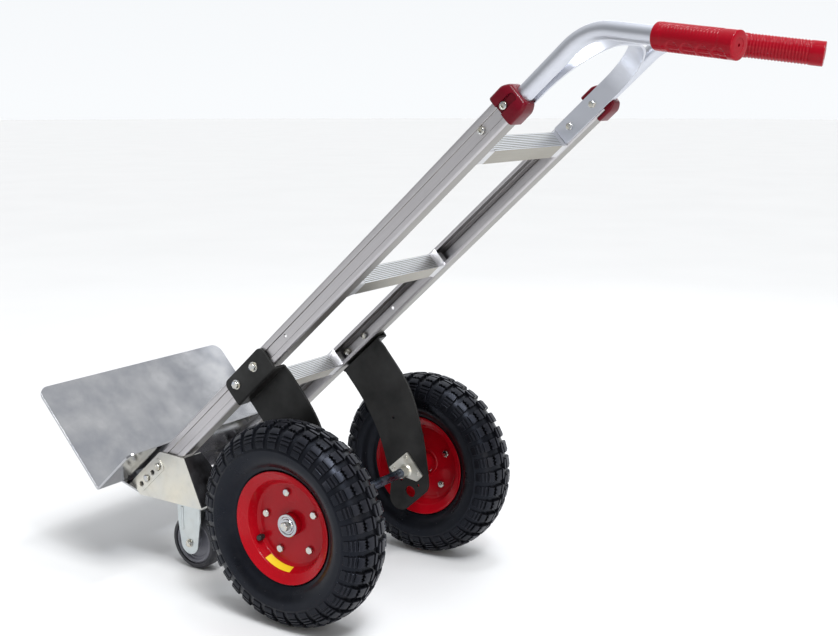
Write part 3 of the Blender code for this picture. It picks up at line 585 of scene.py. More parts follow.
def make_stiles():
    """Two extrusions with satin faces, and painted shade: a darker copy of the alloy at the rear and on the
    walls of the groove.
    """
    low, high = span("stile_left")
    outline = stile_outline(low, high)
    for label, side in SIDES.items():
        mesh_data = prism(sided(side, outline), "y", low.y, high.y)
        stile = new_object("stile_" + label, mesh_data, [MATERIALS["alloy"]])
        hole = fastener([(-0.02, 0.0030), (0.02, 0.0030)])
        combined(stile, moved(hole, Matrix.Translation((side * high.x, 0.162, SCREW_LINE))), "DIFFERENCE")
        # Rear faces and groove walls take the darker copy of the alloy: painted shade.
        stile.data.materials.append(MATERIALS["alloy_dull"])
        for face in stile.data.polygons:
            rear = face.normal.z < -0.9
            middle = abs(face.center.z - (low.z + high.z) / 2) < 0.0095
            groove_wall = middle and 0.0002 < high.x - abs(face.center.x) < 0.0019
            face.material_index = int(rear or groove_wall)
        settle(stile, "alloy", sharp=28)


def make_rungs():
    """Box rungs with a finely ribbed upper face, between smooth cast ends."""
    ribs, groove, wall = 9, 0.0006, 0.0025
    for key in ("lower", "middle", "upper"):
        low, high = span("rung_" + key)
        rib = (high.z - low.z) / ribs
        outline = [(low.y, high.z), (low.y, low.z), (high.y - groove, low.z)]
        for i in range(ribs):
            start = low.z + rib * i
            outline += [(high.y, start + 0.08 * rib), (high.y, start + 0.72 * rib),
                        (high.y - groove, start + 0.80 * rib), (high.y - groove, start + rib)]
        hollow = rectangle((low.y + wall, low.z + wall), (high.y - wall, high.z - wall), 0.001)
        rung = sheet([outline, hollow], high.x - low.x, lambda s, h, t, x=low.x: (x + t, s, h))
        rung = new_object("rung_" + key, rung, [MATERIALS["rung"], MATERIALS["rung_dull"]])
        # Rib tops take the light copy of the alloy, painted light; every other face takes the dark copy,
        # painted shade.
        for face in rung.data.polygons:
            ridge = face.normal.y > 0.9 and face.center.y > high.y - groove / 2
            face.material_index = 0 if ridge else 1
        settle(rung, "alloy", sharp=25)
        for label, side in SIDES.items():
            make_rung_socket(f"rung_socket_{key}_{label}", side, low, high)


def make_rung_socket(node, side, rung_low, rung_high):
    """A casting that flares from the rung's size to the stile's, in one smooth sweep."""
    low, high = span(node)
    inner = rung_high.x + GAP
    face = span("stile_left")[0].x - GAP
    steps = 6
    rings = []
    for i in range(steps + 1):
        t = i / steps
        near, far = rung_low.lerp(low, t * t), rung_high.lerp(high, t * t)
        section = rectangle((near.y, near.z), (far.y, far.z), 0.0015)
        rings.append([(side * (inner + (face - inner) * t), s, h) for s, h in section])
    plug = rectangle((rung_low.y, rung_low.z + 0.0055), (rung_high.y, rung_high.z - 0.0005), 0.001)
    rings += [[(side * x, s, h) for s, h in plug] for x in (face, 0.140)]
    piece(node, lofted(rings), "casting", sharp=40)


def make_loop_bar():
    """Flat bar bent to an inverted U, its two lower ends cut square."""
    low, high = span("loop_bar")
    thickness, corner = 0.004, 0.105
    points = [(high.x, low.y), (high.x, high.y), (-high.x, high.y), (-high.x, low.y)]
    at, marks = folded(points, corner, 24)
    outline = rectangle((low.z, 0.0), (high.z, marks[-1]), 0.0015, 2)
    lines = [((low.z - 0.01, mark), (high.z + 0.01, mark)) for mark in marks[1:-1]]

    def place(h, v, t):
        point = at(v, t)
        return (point.x, point.y, h)

    piece("loop_bar", sheet([outline], thickness, place, lines), "tube", edge=0.0007)


# ---------------------------------------------------------------- handles

# Height of the stile's middle groove, which holds the screws.
SCREW_LINE = 0.241
HANDLE = {
    "x": 0.1345, "h": 0.2385, "radius": 0.01234, "bore": 0.0104, "start": 0.628, "corner": 0.8405,
    "bend": 0.078, "splay": math.radians(12.5), "droop": math.radians(7.3), "grip_start": 0.107,
    "grip_length": 0.114, "grip_radius": 0.0178,
}


def handle_line(side):
    """Centre line of one handle in frame coordinates, and its grip's direction and start."""
    splay, droop = HANDLE["splay"], HANDLE["droop"]
    along = Matrix.Rotation(-TILT, 3, "X") @ Vector((
        side * math.sin(splay) * math.cos(droop), math.cos(splay) * math.cos(droop), -math.sin(droop)))
    up = Vector((0, 1, 0))
    corner = Vector((side * HANDLE["x"], HANDLE["corner"], HANDLE["h"]))
    turn = up.angle(along)
    start = corner - up * HANDLE["bend"] * math.tan(turn / 2)
    inward = (along - up * up.dot(along)).normalized()
    centre = start + inward * HANDLE["bend"]
    points = [Vector((side * HANDLE["x"], HANDLE["start"], HANDLE["h"]))]
    steps = 28
    for i in range(steps + 1):
        angle = turn * i / steps
        points.append(centre + (up * math.sin(angle) - inward * math.cos(angle)) * HANDLE["bend"])
    end = corner + along * (HANDLE["grip_start"] + HANDLE["grip_length"] - 0.006)
    return points + [end], along, corner + along * HANDLE["grip_start"]


def smoothstep(value, low, high):
    t = np.clip((value - low) / (high - low), 0.0, 1.0)
    return t * t * (3 - 2 * t)


def grip_radius(t, angle):
    """Radius at a distance along the grip. Angle 0 faces outwards and pi / 2 is up."""
    length, full = HANDLE["grip_length"], HANDLE["grip_radius"]
    rib_pitch, finger, fingers = 0.0046, 0.0215, 4
    ring = 0.5 + 0.5 * math.cos(2 * math.pi * t / rib_pitch)
    ribbed = smoothstep(t, 0.006, 0.010) * (1 - smoothstep(t, length - 0.020, length - 0.017))
    away = abs(math.remainder(angle + math.radians(22), 2 * math.pi))
    pad = 1 - smoothstep(away, math.radians(42), math.radians(54))
    radius = full - 0.0011 * ring * ribbed * (1 - pad)
    pad *= smoothstep(t, 0.012, 0.016) * (1 - smoothstep(t, length - 0.022, length - 0.018))
    radius -= 0.0006 * pad
    phase = (t - 0.020) / finger
    if 0 < phase < fingers:
        arch = math.sin(math.pi * (phase % 1.0)) ** 0.6
        top = math.radians(-50 + 38 * arch)
        angle = math.remainder(angle, 2 * math.pi)
        below = 1 - smoothstep(angle, top - math.radians(9), top)
        above = smoothstep(angle, math.radians(-78), math.radians(-66))
        radius -= 0.0019 * below * above * smoothstep(arch, 0.25, 0.6)
    return radius


def make_grip(label, side):
    """A ribbed sleeve with finger hollows on its outer lower side, closed by a disc."""
    _, along, start = handle_line(side)
    length, segments, stations = HANDLE["grip_length"], 96, 132
    bore, rounded_end = HANDLE["radius"] + GAP, 0.0016
    to_frame = DATUM.to_3x3().inverted()
    outward = to_frame @ Vector((side, 0, 0))
    outward = (outward - along * outward.dot(along)).normalized()
    up = to_frame @ Vector((0, 0, 1))
    up = (up - along * up.dot(along) - outward * up.dot(outward)).normalized()
    angles = [2 * math.pi * k / segments for k in range(segments)]

    def ring(t, radii):
        return [start + along * t + (outward * math.cos(angle) + up * math.sin(angle)) * radius
                for angle, radius in zip(angles, radii)]

    skin = [ring(0.0, [bore] * segments)]
    for i in range(stations + 1):
        t = length * i / stations
        inside_end = min(min(t, length - t) / rounded_end, 1.0)
        rounding = rounded_end * (1 - math.sqrt(1 - (1 - inside_end) ** 2))
        skin.append(ring(t, [grip_radius(t, angle) - rounding for angle in angles]))
    disc = [(length, 0.0090), (length - 0.0006, 0.0085), (length - 0.0006, 0.0022), (length - 0.003, 0.0020)]
    skin += [ring(t, [radius] * segments) for t, radius in disc]
    mesh_data = lofted(skin, caps=False)
    mesh_data.verts.ensure_lookup_table()
    mesh_data.faces.new(list(mesh_data.verts)[-segments:])
    floor = length - 0.004
    hollow = [ring(t, [radius] * segments) for t, radius in ((floor, 0.0001), (floor, bore), (0.0, bore))]
    join(mesh_data, lofted(hollow, caps=False))
    bmesh.ops.remove_doubles(mesh_data, verts=mesh_data.verts, dist=1e-5)
    piece("grip_" + label, mesh_data, "grip", sharp=50)


def make_clamp(label, side):
    """Moulded collar: boxy round the stile, domed where it closes on the tube, with a screw groove."""
    low, high = span("clamp_left")
    groove_half, groove, shoulder, beyond = 0.0065, 0.004, 0.7035, 0.01
    centre = Vector((HANDLE["x"], HANDLE["h"]))
    body = rectangle((low.x, low.z), (high.x, high.z), [0.004, 0.0065, 0.0065, 0.004], 6)
    dome = high.y - shoulder
    stations = [(low.y, 0.985), (low.y + 0.0012, 1.0)]
    stations += [(shoulder + dome * t, 1 - 0.26 * t ** 1.6) for t in (0, 0.2, 0.4, 0.6, 0.8, 0.93)]
    stations += [(high.y, 0.70)]
    rings = []
    for s, scale in stations:
        outline = [centre + (Vector(point) - centre) * scale for point in body]
        rings.append([(side * x, s, h) for x, h in outline])
    clamp = new_object("clamp_" + label, lofted(rings), [MATERIALS["clamp"]])
    channel = rectangle((low.y - beyond, SCREW_LINE - groove_half),
                        (shoulder + 0.0095, SCREW_LINE + groove_half), [0, 0.004, 0.004, 0])
    stile_low, stile_high = span("stile_left")
    pocket = rectangle((0.100, stile_low.z - GAP), (stile_high.x + GAP, stile_high.z + GAP), 0)
    bore = circle(centre, HANDLE["radius"] + GAP, 40)
    for cutter in (
        prism(channel, "x", side * (high.x - groove), side * (high.x + beyond)),
        prism(sided(side, pocket), "y", low.y - beyond, stile_high.y + GAP),
        prism(sided(side, bore), "y", low.y - beyond, high.y + beyond),
    ):
        combined(clamp, cutter, "DIFFERENCE")
    settle(clamp, "clamps", edge=0.0007)


def socket_screw(nut, seat):
    """Stations of a button screw with a hexagon socket, and of the domed nut on its inner end."""
    head, height, shank, flats = 0.0060, 0.005, 0.0036, 0.0060
    return [
        (nut - 0.0048, 0.0026), (nut - 0.0046, 0.0045), (nut - 0.0030, flats, "hex"), (nut, flats, "hex"),
        (nut, shank), (seat, shank), (seat, head), (seat + 0.55 * height, head),
        (seat + 0.88 * height, 0.90 * head), (seat + height, 0.72 * head),
        (seat + height, 0.48 * head, "hex"), (seat + 0.35 * height, 0.46 * head, "hex"),
    ]


def hex_bolt(nut, seat, size, washer=0.0):
    """Stations of a hexagon bolt with a chamfered head, an optional washer and a nut on its inner end."""
    shank, washer_depth = 0.0036, 0.0013
    stations = [(nut - 0.0055, 0.8 * size), (nut - 0.0048, size, "hex"), (nut, size, "hex"), (nut, shank),
                (seat, shank)]
    if washer:
        stations += [(seat, washer), (seat + washer_depth, washer)]
        seat += washer_depth
    return stations + [(seat, size, "hex"), (seat + 0.0038, size, "hex"), (seat + 0.0046, 0.80 * size),
                       (seat + 0.0044, 0.45 * size)]


def fasten(node, side, end, shape, *sizes):
    """A through bolt in place of its node. Its nut and its head start this far in from the node's ends."""
    low, high = span(node)
    inner, outer = sorted((side * low.x, side * high.x))
    bolt = fastener(sided(side, shape(inner + end, outer - end, *sizes)))
    centre = Matrix.Translation((0, (low.y + high.y) / 2, (low.z + high.z) / 2))
    piece(node, moved(bolt, centre), "zinc", edge=0.0003, segments=1)


def make_handles():
    for label, side in SIDES.items():
        points, _, _ = handle_line(side)
        handle = tube(points, HANDLE["radius"], HANDLE["bore"])
        piece("handle_tube_" + label, handle, "tube", sharp=50)
        make_grip(label, side)
        make_clamp(label, side)
        for key in ("clamp", "handle"):
            fasten(f"{key}_screw_{label}", side, 0.005, socket_screw)


# ---------------------------------------------------------------- toe plate


def make_toe_plate():
    """Folded plate: a leg in front of the stiles, a blade square to them and a tongue under them."""
    low, high = span("toe_plate")
    thickness = 0.004
    front = span("stile_left")[1].z + GAP
    fold_s = low.y + thickness
    half = high.x
    leg = front + thickness
    at, marks = folded([(high.z, fold_s), (leg, fold_s), (leg, high.y)], 0.005, 6)
    outline = fillet([(-half, 0.0), (half, 0.0), (half, marks[-1]), (-half, marks[-1])],
                     [0.020, 0.020, 0.015, 0.015], 6)
    lines = [((-half - 0.01, mark), (half + 0.01, mark)) for mark in marks[1:-1]]

    def place(x, v, t):
        point = at(v, -t)
        return (x, point.y, point.x)

    plate = new_object("toe_plate", sheet([outline], thickness, place, lines), [MATERIALS["bright_zinc"]])
    stile = span("stile_left")[1].x
    root, flare = front + 0.006, 0.02
    tongue = fillet([(-stile - flare, root), (-stile, low.z), (stile, low.z), (stile + flare, root)],
                    [0, 0.004, 0.004, 0])
    combined(plate, prism(tongue, "y", low.y, low.y + thickness), "UNION")
    settle(plate, "zinc_sheet", edge=0.0007)


# ---------------------------------------------------------------- wheel brackets and axle

AXLE_BORE = 0.0086


def bracket_outline(top):
    """Curved side plate in (s, h): from the stile's rear face down round the axle."""
    front = [(0.011, top), (0.008, 0.147), (-0.006, 0.083), (-0.0385, 0.0125), (-0.061, -0.012)]
    toe = arc((-0.047, -0.030), 0.0225, 140, 270, 14)
    heel = arc((0.003, -0.0285), 0.0240, 270, 325, 8)
    rear = [(0.029, -0.034), (0.0665, 0.022), (0.105, 0.1055), (0.1125, 0.187), (0.1115, top)]
    return smooth_curve(front, 10), toe + heel + smooth_curve(rear, 10)


def make_wheel_bracket(label, side):
    """Pressed plate that steps outwards under the stile and up its outer face."""
    low, high = span("wheel_bracket_left")
    thickness, overlap = 0.004, 0.002
    web = span("stile_left")[0].z - GAP - thickness
    cheek = high.x - thickness
    points = [(low.x, low.z), (low.x, web), (cheek, web), (cheek, high.z)]
    at, marks = folded(points, [0, 0.004, 0.0005, 0], 5)
    base, top = -low.z, marks[-1]
    seam = web + base + overlap
    flange_low, flange_high = 0.006, 0.112
    upper = [(flange_high, seam), (flange_high, top), (flange_low, top), (flange_low, seam)]
    front, back = bracket_outline(web - 0.006)
    outline = [(s, h + base) for s, h in back] + fillet(upper, [0, 0.010, 0.010, 0], 6)
    outline += [(s, h + base) for s, h in front]
    holes = [(0.0, 0.0, AXLE_BORE, 24), (-0.021, -0.0335, 0.0105, 28)]
    holes += [(s, h, 0.0028, 14) for s, h in ((0.0415, 0.0875), (-0.0215, -0.0060), (0.0013, -0.0342))]
    loops = [outline] + [circle((s, h + base), radius, segments) for s, h, radius, segments in holes]
    lines = [((-0.2, mark), (0.2, mark)) for mark in marks[1:-1]]

    def place(s, v, t):
        point = at(v, -t)
        return (side * point.x, s, point.y)

    piece("wheel_bracket_" + label, sheet(loops, thickness, place, lines), "coat", edge=0.0006)
    for key in ("lower", "upper"):
        fasten(f"bracket_bolt_{key}_{label}", side, 0.0055, hex_bolt, 0.0068, 0.0082)


def make_axle_flange(label, side):
    """Triangular plate with a collar for the axle and three button screws."""
    low, high = span("axle_flange_left")
    thickness = 0.003
    outer = high.x
    seat = outer - thickness
    corners = [(0.025, 0.024), (-0.027, 0.0245), (-0.026, 0.013), (0.0066, -0.0274), (0.024, -0.027)]
    loops = [fillet(corners, 0.0015, 3), circle((0.0, 0.0), AXLE_BORE, 32)]
    plate = sheet(loops, thickness, lambda s, h, t: (side * (outer - t), s, h))
    collar = [(low.x, AXLE_BORE), (low.x, 0.0099), (seat - 0.003, 0.0099), (seat, 0.0125),
              (seat + 0.001, 0.0125), (seat + 0.001, AXLE_BORE)]
    collar = turned(sided(side, fillet(collar, [0.0004, 0.0004, 0.002, 0, 0, 0], 3)), 40)
    head = [(seat + 0.001, 0.0042), (seat, 0.0042), (seat - 0.0016, 0.0036), (seat - 0.0024, 0.0024),
            (seat - 0.0024, 0.0014), (seat - 0.0012, 0.0012)]
    screws = [moved(fastener(sided(side, head), 18), Matrix.Translation((0, s, h)))
              for s, h in ((0.0165, 0.0180), (-0.0195, 0.0185), (0.0165, -0.0180))]
    piece("axle_flange_" + label, join(plate, collar, *screws), "zinc_sheet", sharp=30)


def make_axle():
    low, high = span("axle")
    radius, core, chamfer = (high.z - low.z) / 2, 0.004, 0.001
    profile = [(low.x, 0), (low.x, radius), (high.x, radius), (high.x, 0)]
    profile = fillet(profile, [0, chamfer, chamfer, 0], 3)
    piece("axle", fastener([(low.x, core)] + profile[1:-1] + [(high.x, core)], 40), "steel")


# ---------------------------------------------------------------- main wheels

PITCHES = 36
TYRE_RADIUS = 0.165
TYRE_HALF = 0.044
WIDEST = 0.128
NIBS = 9
TREAD_REACH = 0.066
# Depth below a block's outline, and the share of the block's height reached there.
SHOULDER_DEPTHS = (0.0, 0.0005, 0.0011)
SHOULDER_HEIGHTS = (0.0, 0.86, 1.0)


def tyre_section():
    """Half of the tyre's outer section over the blocks, as (x, radius), from the crown to the bead."""
    power, steps = 2.35, 24
    points = []
    for i in range(steps + 1):
        angle = math.radians(90 - 90 * i / steps)
        x = TYRE_HALF * max(math.cos(angle), 0.0) ** (2 / power)
        points.append((x, WIDEST + (TYRE_RADIUS - WIDEST) * math.sin(angle) ** (2 / power)))
    sidewall = [(TYRE_HALF, WIDEST), (0.0428, 0.1165), (0.0385, 0.1065), (0.0315, 0.0985),
                (0.0290, 0.0940), (0.0275, 0.0925), (0.0240, 0.0860), (0.0185, 0.0785)]
    return points + smooth_curve(sidewall, 5)[1:]


def inner_section():
    """Half of the tyre's inner section, from the bead to the crown."""
    return smooth_curve([(0.0110, 0.0785), (0.0150, 0.0960), (0.0335, 0.1150), (0.0340, 0.1380),
                         (0.0200, 0.1520), (0.0, 0.1535)], 4)


def tread_blocks():
    """One pitch's blocks on one side: outlines as (around, across) in metres, with heights from 0 to 1."""
    wide, teeth, zig = 0.0099, 6, 0.0012

    def toothed(v, half):
        return [(-half + 2 * half * i / teeth, v + (zig if i % 2 else -zig)) for i in range(teeth + 1)]

    left_of_crown = [(-wide, 0.0070), (-wide, 0.0040), (-0.0075, 0.0020), (-0.0040, 0.0010)]
    crown = left_of_crown + [(-u, v) for u, v in reversed(left_of_crown)]
    middle = [(wide, 0.0092), (-wide, 0.0092)] + toothed(0.0230, wide)
    left_of_lug = [(-wide, 0.0385), (-wide, 0.0330), (-0.0088, 0.0290)]
    lug = left_of_lug + toothed(0.0258, 0.0075) + [(-u, v) for u, v in reversed(left_of_lug)]
    column = [(-wide, 0.0360), (-wide + 0.0006, 0.0635), (wide - 0.0006, 0.0635), (wide, 0.0360)]
    blocks = [(crown, 1.0), (middle, 1.0), (column, 0.45), (lug, 1.0)]
    for start, end in ((0.0410, 0.0450), (0.0466, 0.0512), (0.0530, 0.0625)):
        blocks.append((rectangle((-wide + 0.0004, start), (wide - 0.0004, end), 0), 0.92))
    return blocks


def tread_depth(v):
    """Depth of the grooves at a distance across the tread."""
    return np.interp(v, [0.0, 0.026, 0.038, 0.052, 0.0625, TREAD_REACH],
                     [0.0058, 0.0058, 0.0050, 0.0034, 0.0017, 0.0])


def inset(loop, distance):
    """The loop moved inwards by distance, corner by corner."""
    count = len(loop)
    area = sum(a[0] * b[1] - b[0] * a[1] for a, b in zip(loop, loop[1:] + loop[:1]))
    sign = 1 if area > 0 else -1
    moved_loop = []
    for i in range(count):
        p = Vector(loop[i])
        back = (p - Vector(loop[i - 1])).normalized()
        ahead = (Vector(loop[(i + 1) % count]) - p).normalized()
        normals = Vector((-back.y, back.x)) + Vector((-ahead.y, ahead.x))
        normals.normalize()
        lean = max(normals.dot(Vector((-back.y, back.x))), 0.5)
        moved_loop.append(tuple(p + normals * sign * distance / lean))
    return moved_loop


def distance_to(points, loop):
    """Distance from each 2D point to the loop's outline."""
    best = np.full(len(points), 1.0)
    for a, b in zip(loop, loop[1:] + loop[:1]):
        a, b = np.array(a), np.array(b)
        t = np.clip(((points - a) @ (b - a)) / max((b - a) @ (b - a), 1e-12), 0, 1)
        best = np.minimum(best, np.linalg.norm(points - (a + t[:, None] * (b - a)), axis=1))
    return best


def tyre_loop():
    """The tyre's whole section as a closed loop of (x, radius), and the distance round it to each point."""
    half_loop = tyre_section() + inner_section()
    loop = half_loop + [(-x, r) for x, r in reversed(half_loop)][1:-1]
    loop = np.array(loop + loop[:1])
    steps = np.linalg.norm(np.diff(loop, axis=0), axis=1)
    return loop, np.concatenate([[0.0], np.cumsum(steps)])


def tyre_pitch(marks):
    """One pitch of the skin, flat: points as (around, distance round the section), heights and triangles."""
    total = marks[-1]
    half = math.pi * TYRE_RADIUS / PITCHES
    row = 0.0040
    heights = [v for v in marks[1:-1] if TREAD_REACH < v < total - TREAD_REACH]
    for v in np.arange(row / 2, TREAD_REACH + row / 2, row):
        heights += [v, total - v]
    lines = [((-half, v), (half, v)) for v in heights]
    lines += [((u, 0.0), (u, total)) for u in (-half / 3, half / 3)]
    blocks = []
    for loop, height in tread_blocks():
        blocks += [(loop, height), ([(-u, total - v) for u, v in loop], height)]
    for loop, height in blocks:
        for depth in SHOULDER_DEPTHS:
            ring = inset(loop, depth)
            lines += list(zip(ring, ring[1:] + ring[:1]))
    domain = [(-half, 0.0), (half, 0.0), (half, total), (-half, total)]
    points, triangles = tessellate([domain], lines)
    height = np.zeros(len(points))
    for loop, top in blocks:
        depth = distance_to(points, loop)
        enclosed = inside(points, loop) & (depth > 1e-6)
        rise = top * np.interp(depth, SHOULDER_DEPTHS, SHOULDER_HEIGHTS)
        height = np.where(enclosed, np.maximum(rise, height), height)
    return points, height, triangles


def tyre_nibs():
    """Moulding nibs in two rings on each sidewall. A ring has a foot, a tip, a radius and a turn."""
    wall = 0.0396
    rings = ((-0.002, 0.0009, 0.1085, 0.4), (0.0, 0.0043, 0.1185, 0.9))
    nibs = []
    for outward in (1, -1):
        for i in range(NIBS):
            for foot, tip, radius, turn in rings:
                stations = [(wall + foot, 0.0008), (wall + tip, 0.0006)]
                nib = fastener(sided(outward, stations), 8)
                nibs.append(moved(nib, at_angle(radius, 360 * (i + turn) / NIBS)))
    return nibs


def make_tyre(label):
    """Tread blocks and skin as one surface, repeated round the wheel, with nibs on the sidewalls."""
    loop, marks = tyre_loop()
    total = marks[-1]
    points, height, triangles = tyre_pitch(marks)
    across = points[:, 1]
    reach = 0.001
    x, r = (np.interp(across, marks, loop[:, k]) for k in (0, 1))
    along_x, along_r = (
        np.interp((across + reach) % total, marks, loop[:, k])
        - np.interp((across - reach) % total, marks, loop[:, k]) for k in (0, 1))
    size = np.hypot(along_x, along_r)
    sunk = tread_depth(np.minimum(across, total - across)) * (1 - height)
    x = x + sunk * along_r / size
    r = r - sunk * along_x / size
    stagger = np.interp(across, [0.0, reach, total - reach, total], [0.0, 0.25, -0.25, 0.0])
    angle = points[:, 0] / TYRE_RADIUS + stagger * 2 * math.pi / PITCHES
    mesh_data = bmesh.new()
    for k in range(PITCHES):
        turn = angle + 2 * math.pi * k / PITCHES
        verts = [mesh_data.verts.new(p) for p in zip(x, r * np.sin(turn), -r * np.cos(turn))]
        for a, b, c in triangles:
            mesh_data.faces.new((verts[a], verts[b], verts[c]))
    bmesh.ops.remove_doubles(mesh_data, verts=mesh_data.verts, dist=2e-5)
    join(mesh_data, *tyre_nibs())
    piece("tyre_" + label, mesh_data, "rubber", **on_wheel(label), sharp=38)


HUB_RADIUS = 0.0185
RIM_SEGMENTS = 96
BOLT_CIRCLE = 0.0507
BOLT_ANGLES = [27 + 72 * i for i in range(5)]


def rim_half():
    """Pressed half rim: disc, conical well and flared lip, as (x, radius) with corner radii."""
    hub = HUB_RADIUS + GAP
    corners = [
        (0.0025, hub, 0.0), (0.0025, 0.0650, 0.004), (0.0055, 0.0690, 0.003), (0.0215, 0.0752, 0.004),
        (0.0272, 0.0860, 0.006), (0.0301, 0.0904, 0.0008), (0.0285, 0.0912, 0.0006),
        (0.0252, 0.0870, 0.006),
        (0.0198, 0.0775, 0.004), (0.0040, 0.0712, 0.003), (GAP / 2, 0.0662, 0.004), (GAP / 2, hub, 0.0),
    ]
    return fillet([c[:2] for c in corners], [c[2] for c in corners], 5)


def on_wheel(label):
    """The body and the place of what turns with a main wheel."""
    return {"body": "wheel_" + label, "place": joint_matrix("wheel_spin_" + label)}


def at_angle(radius, degrees):
    """Placing matrix on the wheel, with the angle counted from +Y towards +Z."""
    angle = math.radians(degrees)
    return Matrix.Translation((0, radius * math.cos(angle), radius * math.sin(angle)))


def make_rims(label, side):
    for name, half in (("outer", side), ("inner", -side)):
        rim = turned(sided(half, rim_half()), RIM_SEGMENTS)
        if name == "inner":
            ridge = fillet([(0.0024, 0.0215), (0.0040, 0.0225), (0.0040, 0.0245), (0.0024, 0.0262)],
                           [0, 0.0006, 0.0006, 0], 3)
            join(rim, turned(sided(half, ridge), RIM_SEGMENTS))
        piece(f"rim_{name}_{label}", rim, "paint", **on_wheel(label), sharp=40)
    bolts = []
    for degrees in BOLT_ANGLES:
        bolt = fastener(sided(side, hex_bolt(-0.0028, 0.0028, 0.0066)))
        turn = Matrix.Rotation(math.radians(degrees), 4, "X")
        bolts.append(moved(bolt, at_angle(BOLT_CIRCLE, degrees) @ turn))
    piece("rim_bolts_" + label, join(*bolts), "zinc", **on_wheel(label), edge=0.0003, segments=1)
    make_valve(label, side)
    make_rim_label(label, side)
    make_hub(label, side)


def make_valve(label, side):
    """Capped valve that stands out of the rim's well."""
    stem = [(0.006, 0.0042), (0.0095, 0.0040), (0.0100, 0.0052), (0.0160, 0.0050), (0.0172, 0.0040),
            (0.0172, 0.0010)]
    stem = fillet(stem, [0, 0.001, 0.0004, 0.0008, 0.0008, 0], 3)
    degrees = -151 if side > 0 else -29
    valve = moved(fastener(sided(side, stem), 24), at_angle(0.0655, degrees))
    piece("valve_" + label, valve, "black", **on_wheel(label), sharp=35)


def make_rim_label(label, side):
    """Blank paper label on the rim's well."""
    outer, inner = (0.0190, 0.0741), (0.0075, 0.0695)
    under, over, steps = 0.0001, 0.00035, 16
    section = [(x, r - over) for x, r in (inner, outer)] + [(x, r - under) for x, r in (outer, inner)]
    rings = []
    for i in range(steps + 1):
        angle = math.radians(-125 + 40 * i / steps)
        rings.append([(side * x, r * math.cos(angle), r * math.sin(angle)) for x, r in section])
    piece("rim_label_" + label, lofted(rings), "label", **on_wheel(label), sharp=30)


def reach_along(node, side, centre):
    """A wheel piece's inner and outer end, measured outwards from the wheel's middle plane."""
    low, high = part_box(node)
    return sorted((side * (low.x - centre), side * (high.x - centre)))


def make_hub(label, side):
    """Painted tube with a ball bearing in each end."""
    wheel = on_wheel(label)
    centre = wheel["place"].translation.x
    start, end = reach_along("hub_" + label, side, centre)
    bore = 0.0145
    profile = fillet([(start, bore), (start, HUB_RADIUS), (end, HUB_RADIUS), (end, bore)], 0.0006, 3)
    piece("hub_" + label, turned(sided(side, profile), 64), "paint", **wheel, sharp=40)
    recess = 0.0006
    for seat in ("inner", "outer"):
        node = f"bearing_{seat}_{label}"
        start, end = reach_along(node, side, centre)
        radii = ((0.0083, 0), (0.0103, 0), (0.0105, recess), (0.0122, recess), (0.0124, 0), (0.0142, 0))
        ring = [(start + sunk, r) for r, sunk in radii] + [(end - sunk, r) for r, sunk in reversed(radii)]
        piece(node, turned(sided(side, ring), 48), "steel", **wheel, sharp=30)


def make_axle_end(label, side):
    """Dished washer and hexagon bolt that hold the wheel on."""
    node = "axle_end_bolt_" + label
    low, high = span(node)
    start, end = sorted((side * low.x, side * high.x))
    washer, flats = (high.z - low.z) / 2, 0.0075
    stations = [
        (start, 0.010), (start, washer - 0.0006), (start + 0.0006, washer), (start + 0.0022, washer),
        (start + 0.0030, washer - 0.0008), (start + 0.0030, 0.0150), (start + 0.0014, 0.0132),
        (start + 0.0014, 0.0112), (start + 0.0032, 0.0100), (start + 0.0036, flats, "hex"),
        (end - 0.0010, flats, "hex"), (end - 0.0001, 0.0064), (end, 0.0045),
    ]
    bolt = fastener(sided(side, stations), 48)
    bolt = new_object(node, bolt, [MATERIALS["bright_zinc"], MATERIALS["zinc"]])
    for face in bolt.data.polygons:
        face.material_index = int(abs(face.center.x) > start + 0.0034)
    settle(bolt, "zinc", sharp=30)


# ---------------------------------------------------------------- castors

# The cheek of a castor bracket, and the places of the four holes in a row along it.
CHEEK_INNER = 0.1513
OPEN_HOLES = (-0.2475, -0.2855)
BOLT_HOLES = (-0.2285, -0.2665)


def frame_to_side(s, h):
    """(y, z) of a frame point, measured from the point on the floor under the axle."""
    return (s * math.cos(TILT) - h * math.sin(TILT), TYRE_RADIUS + s * math.sin(TILT) + h * math.cos(TILT))


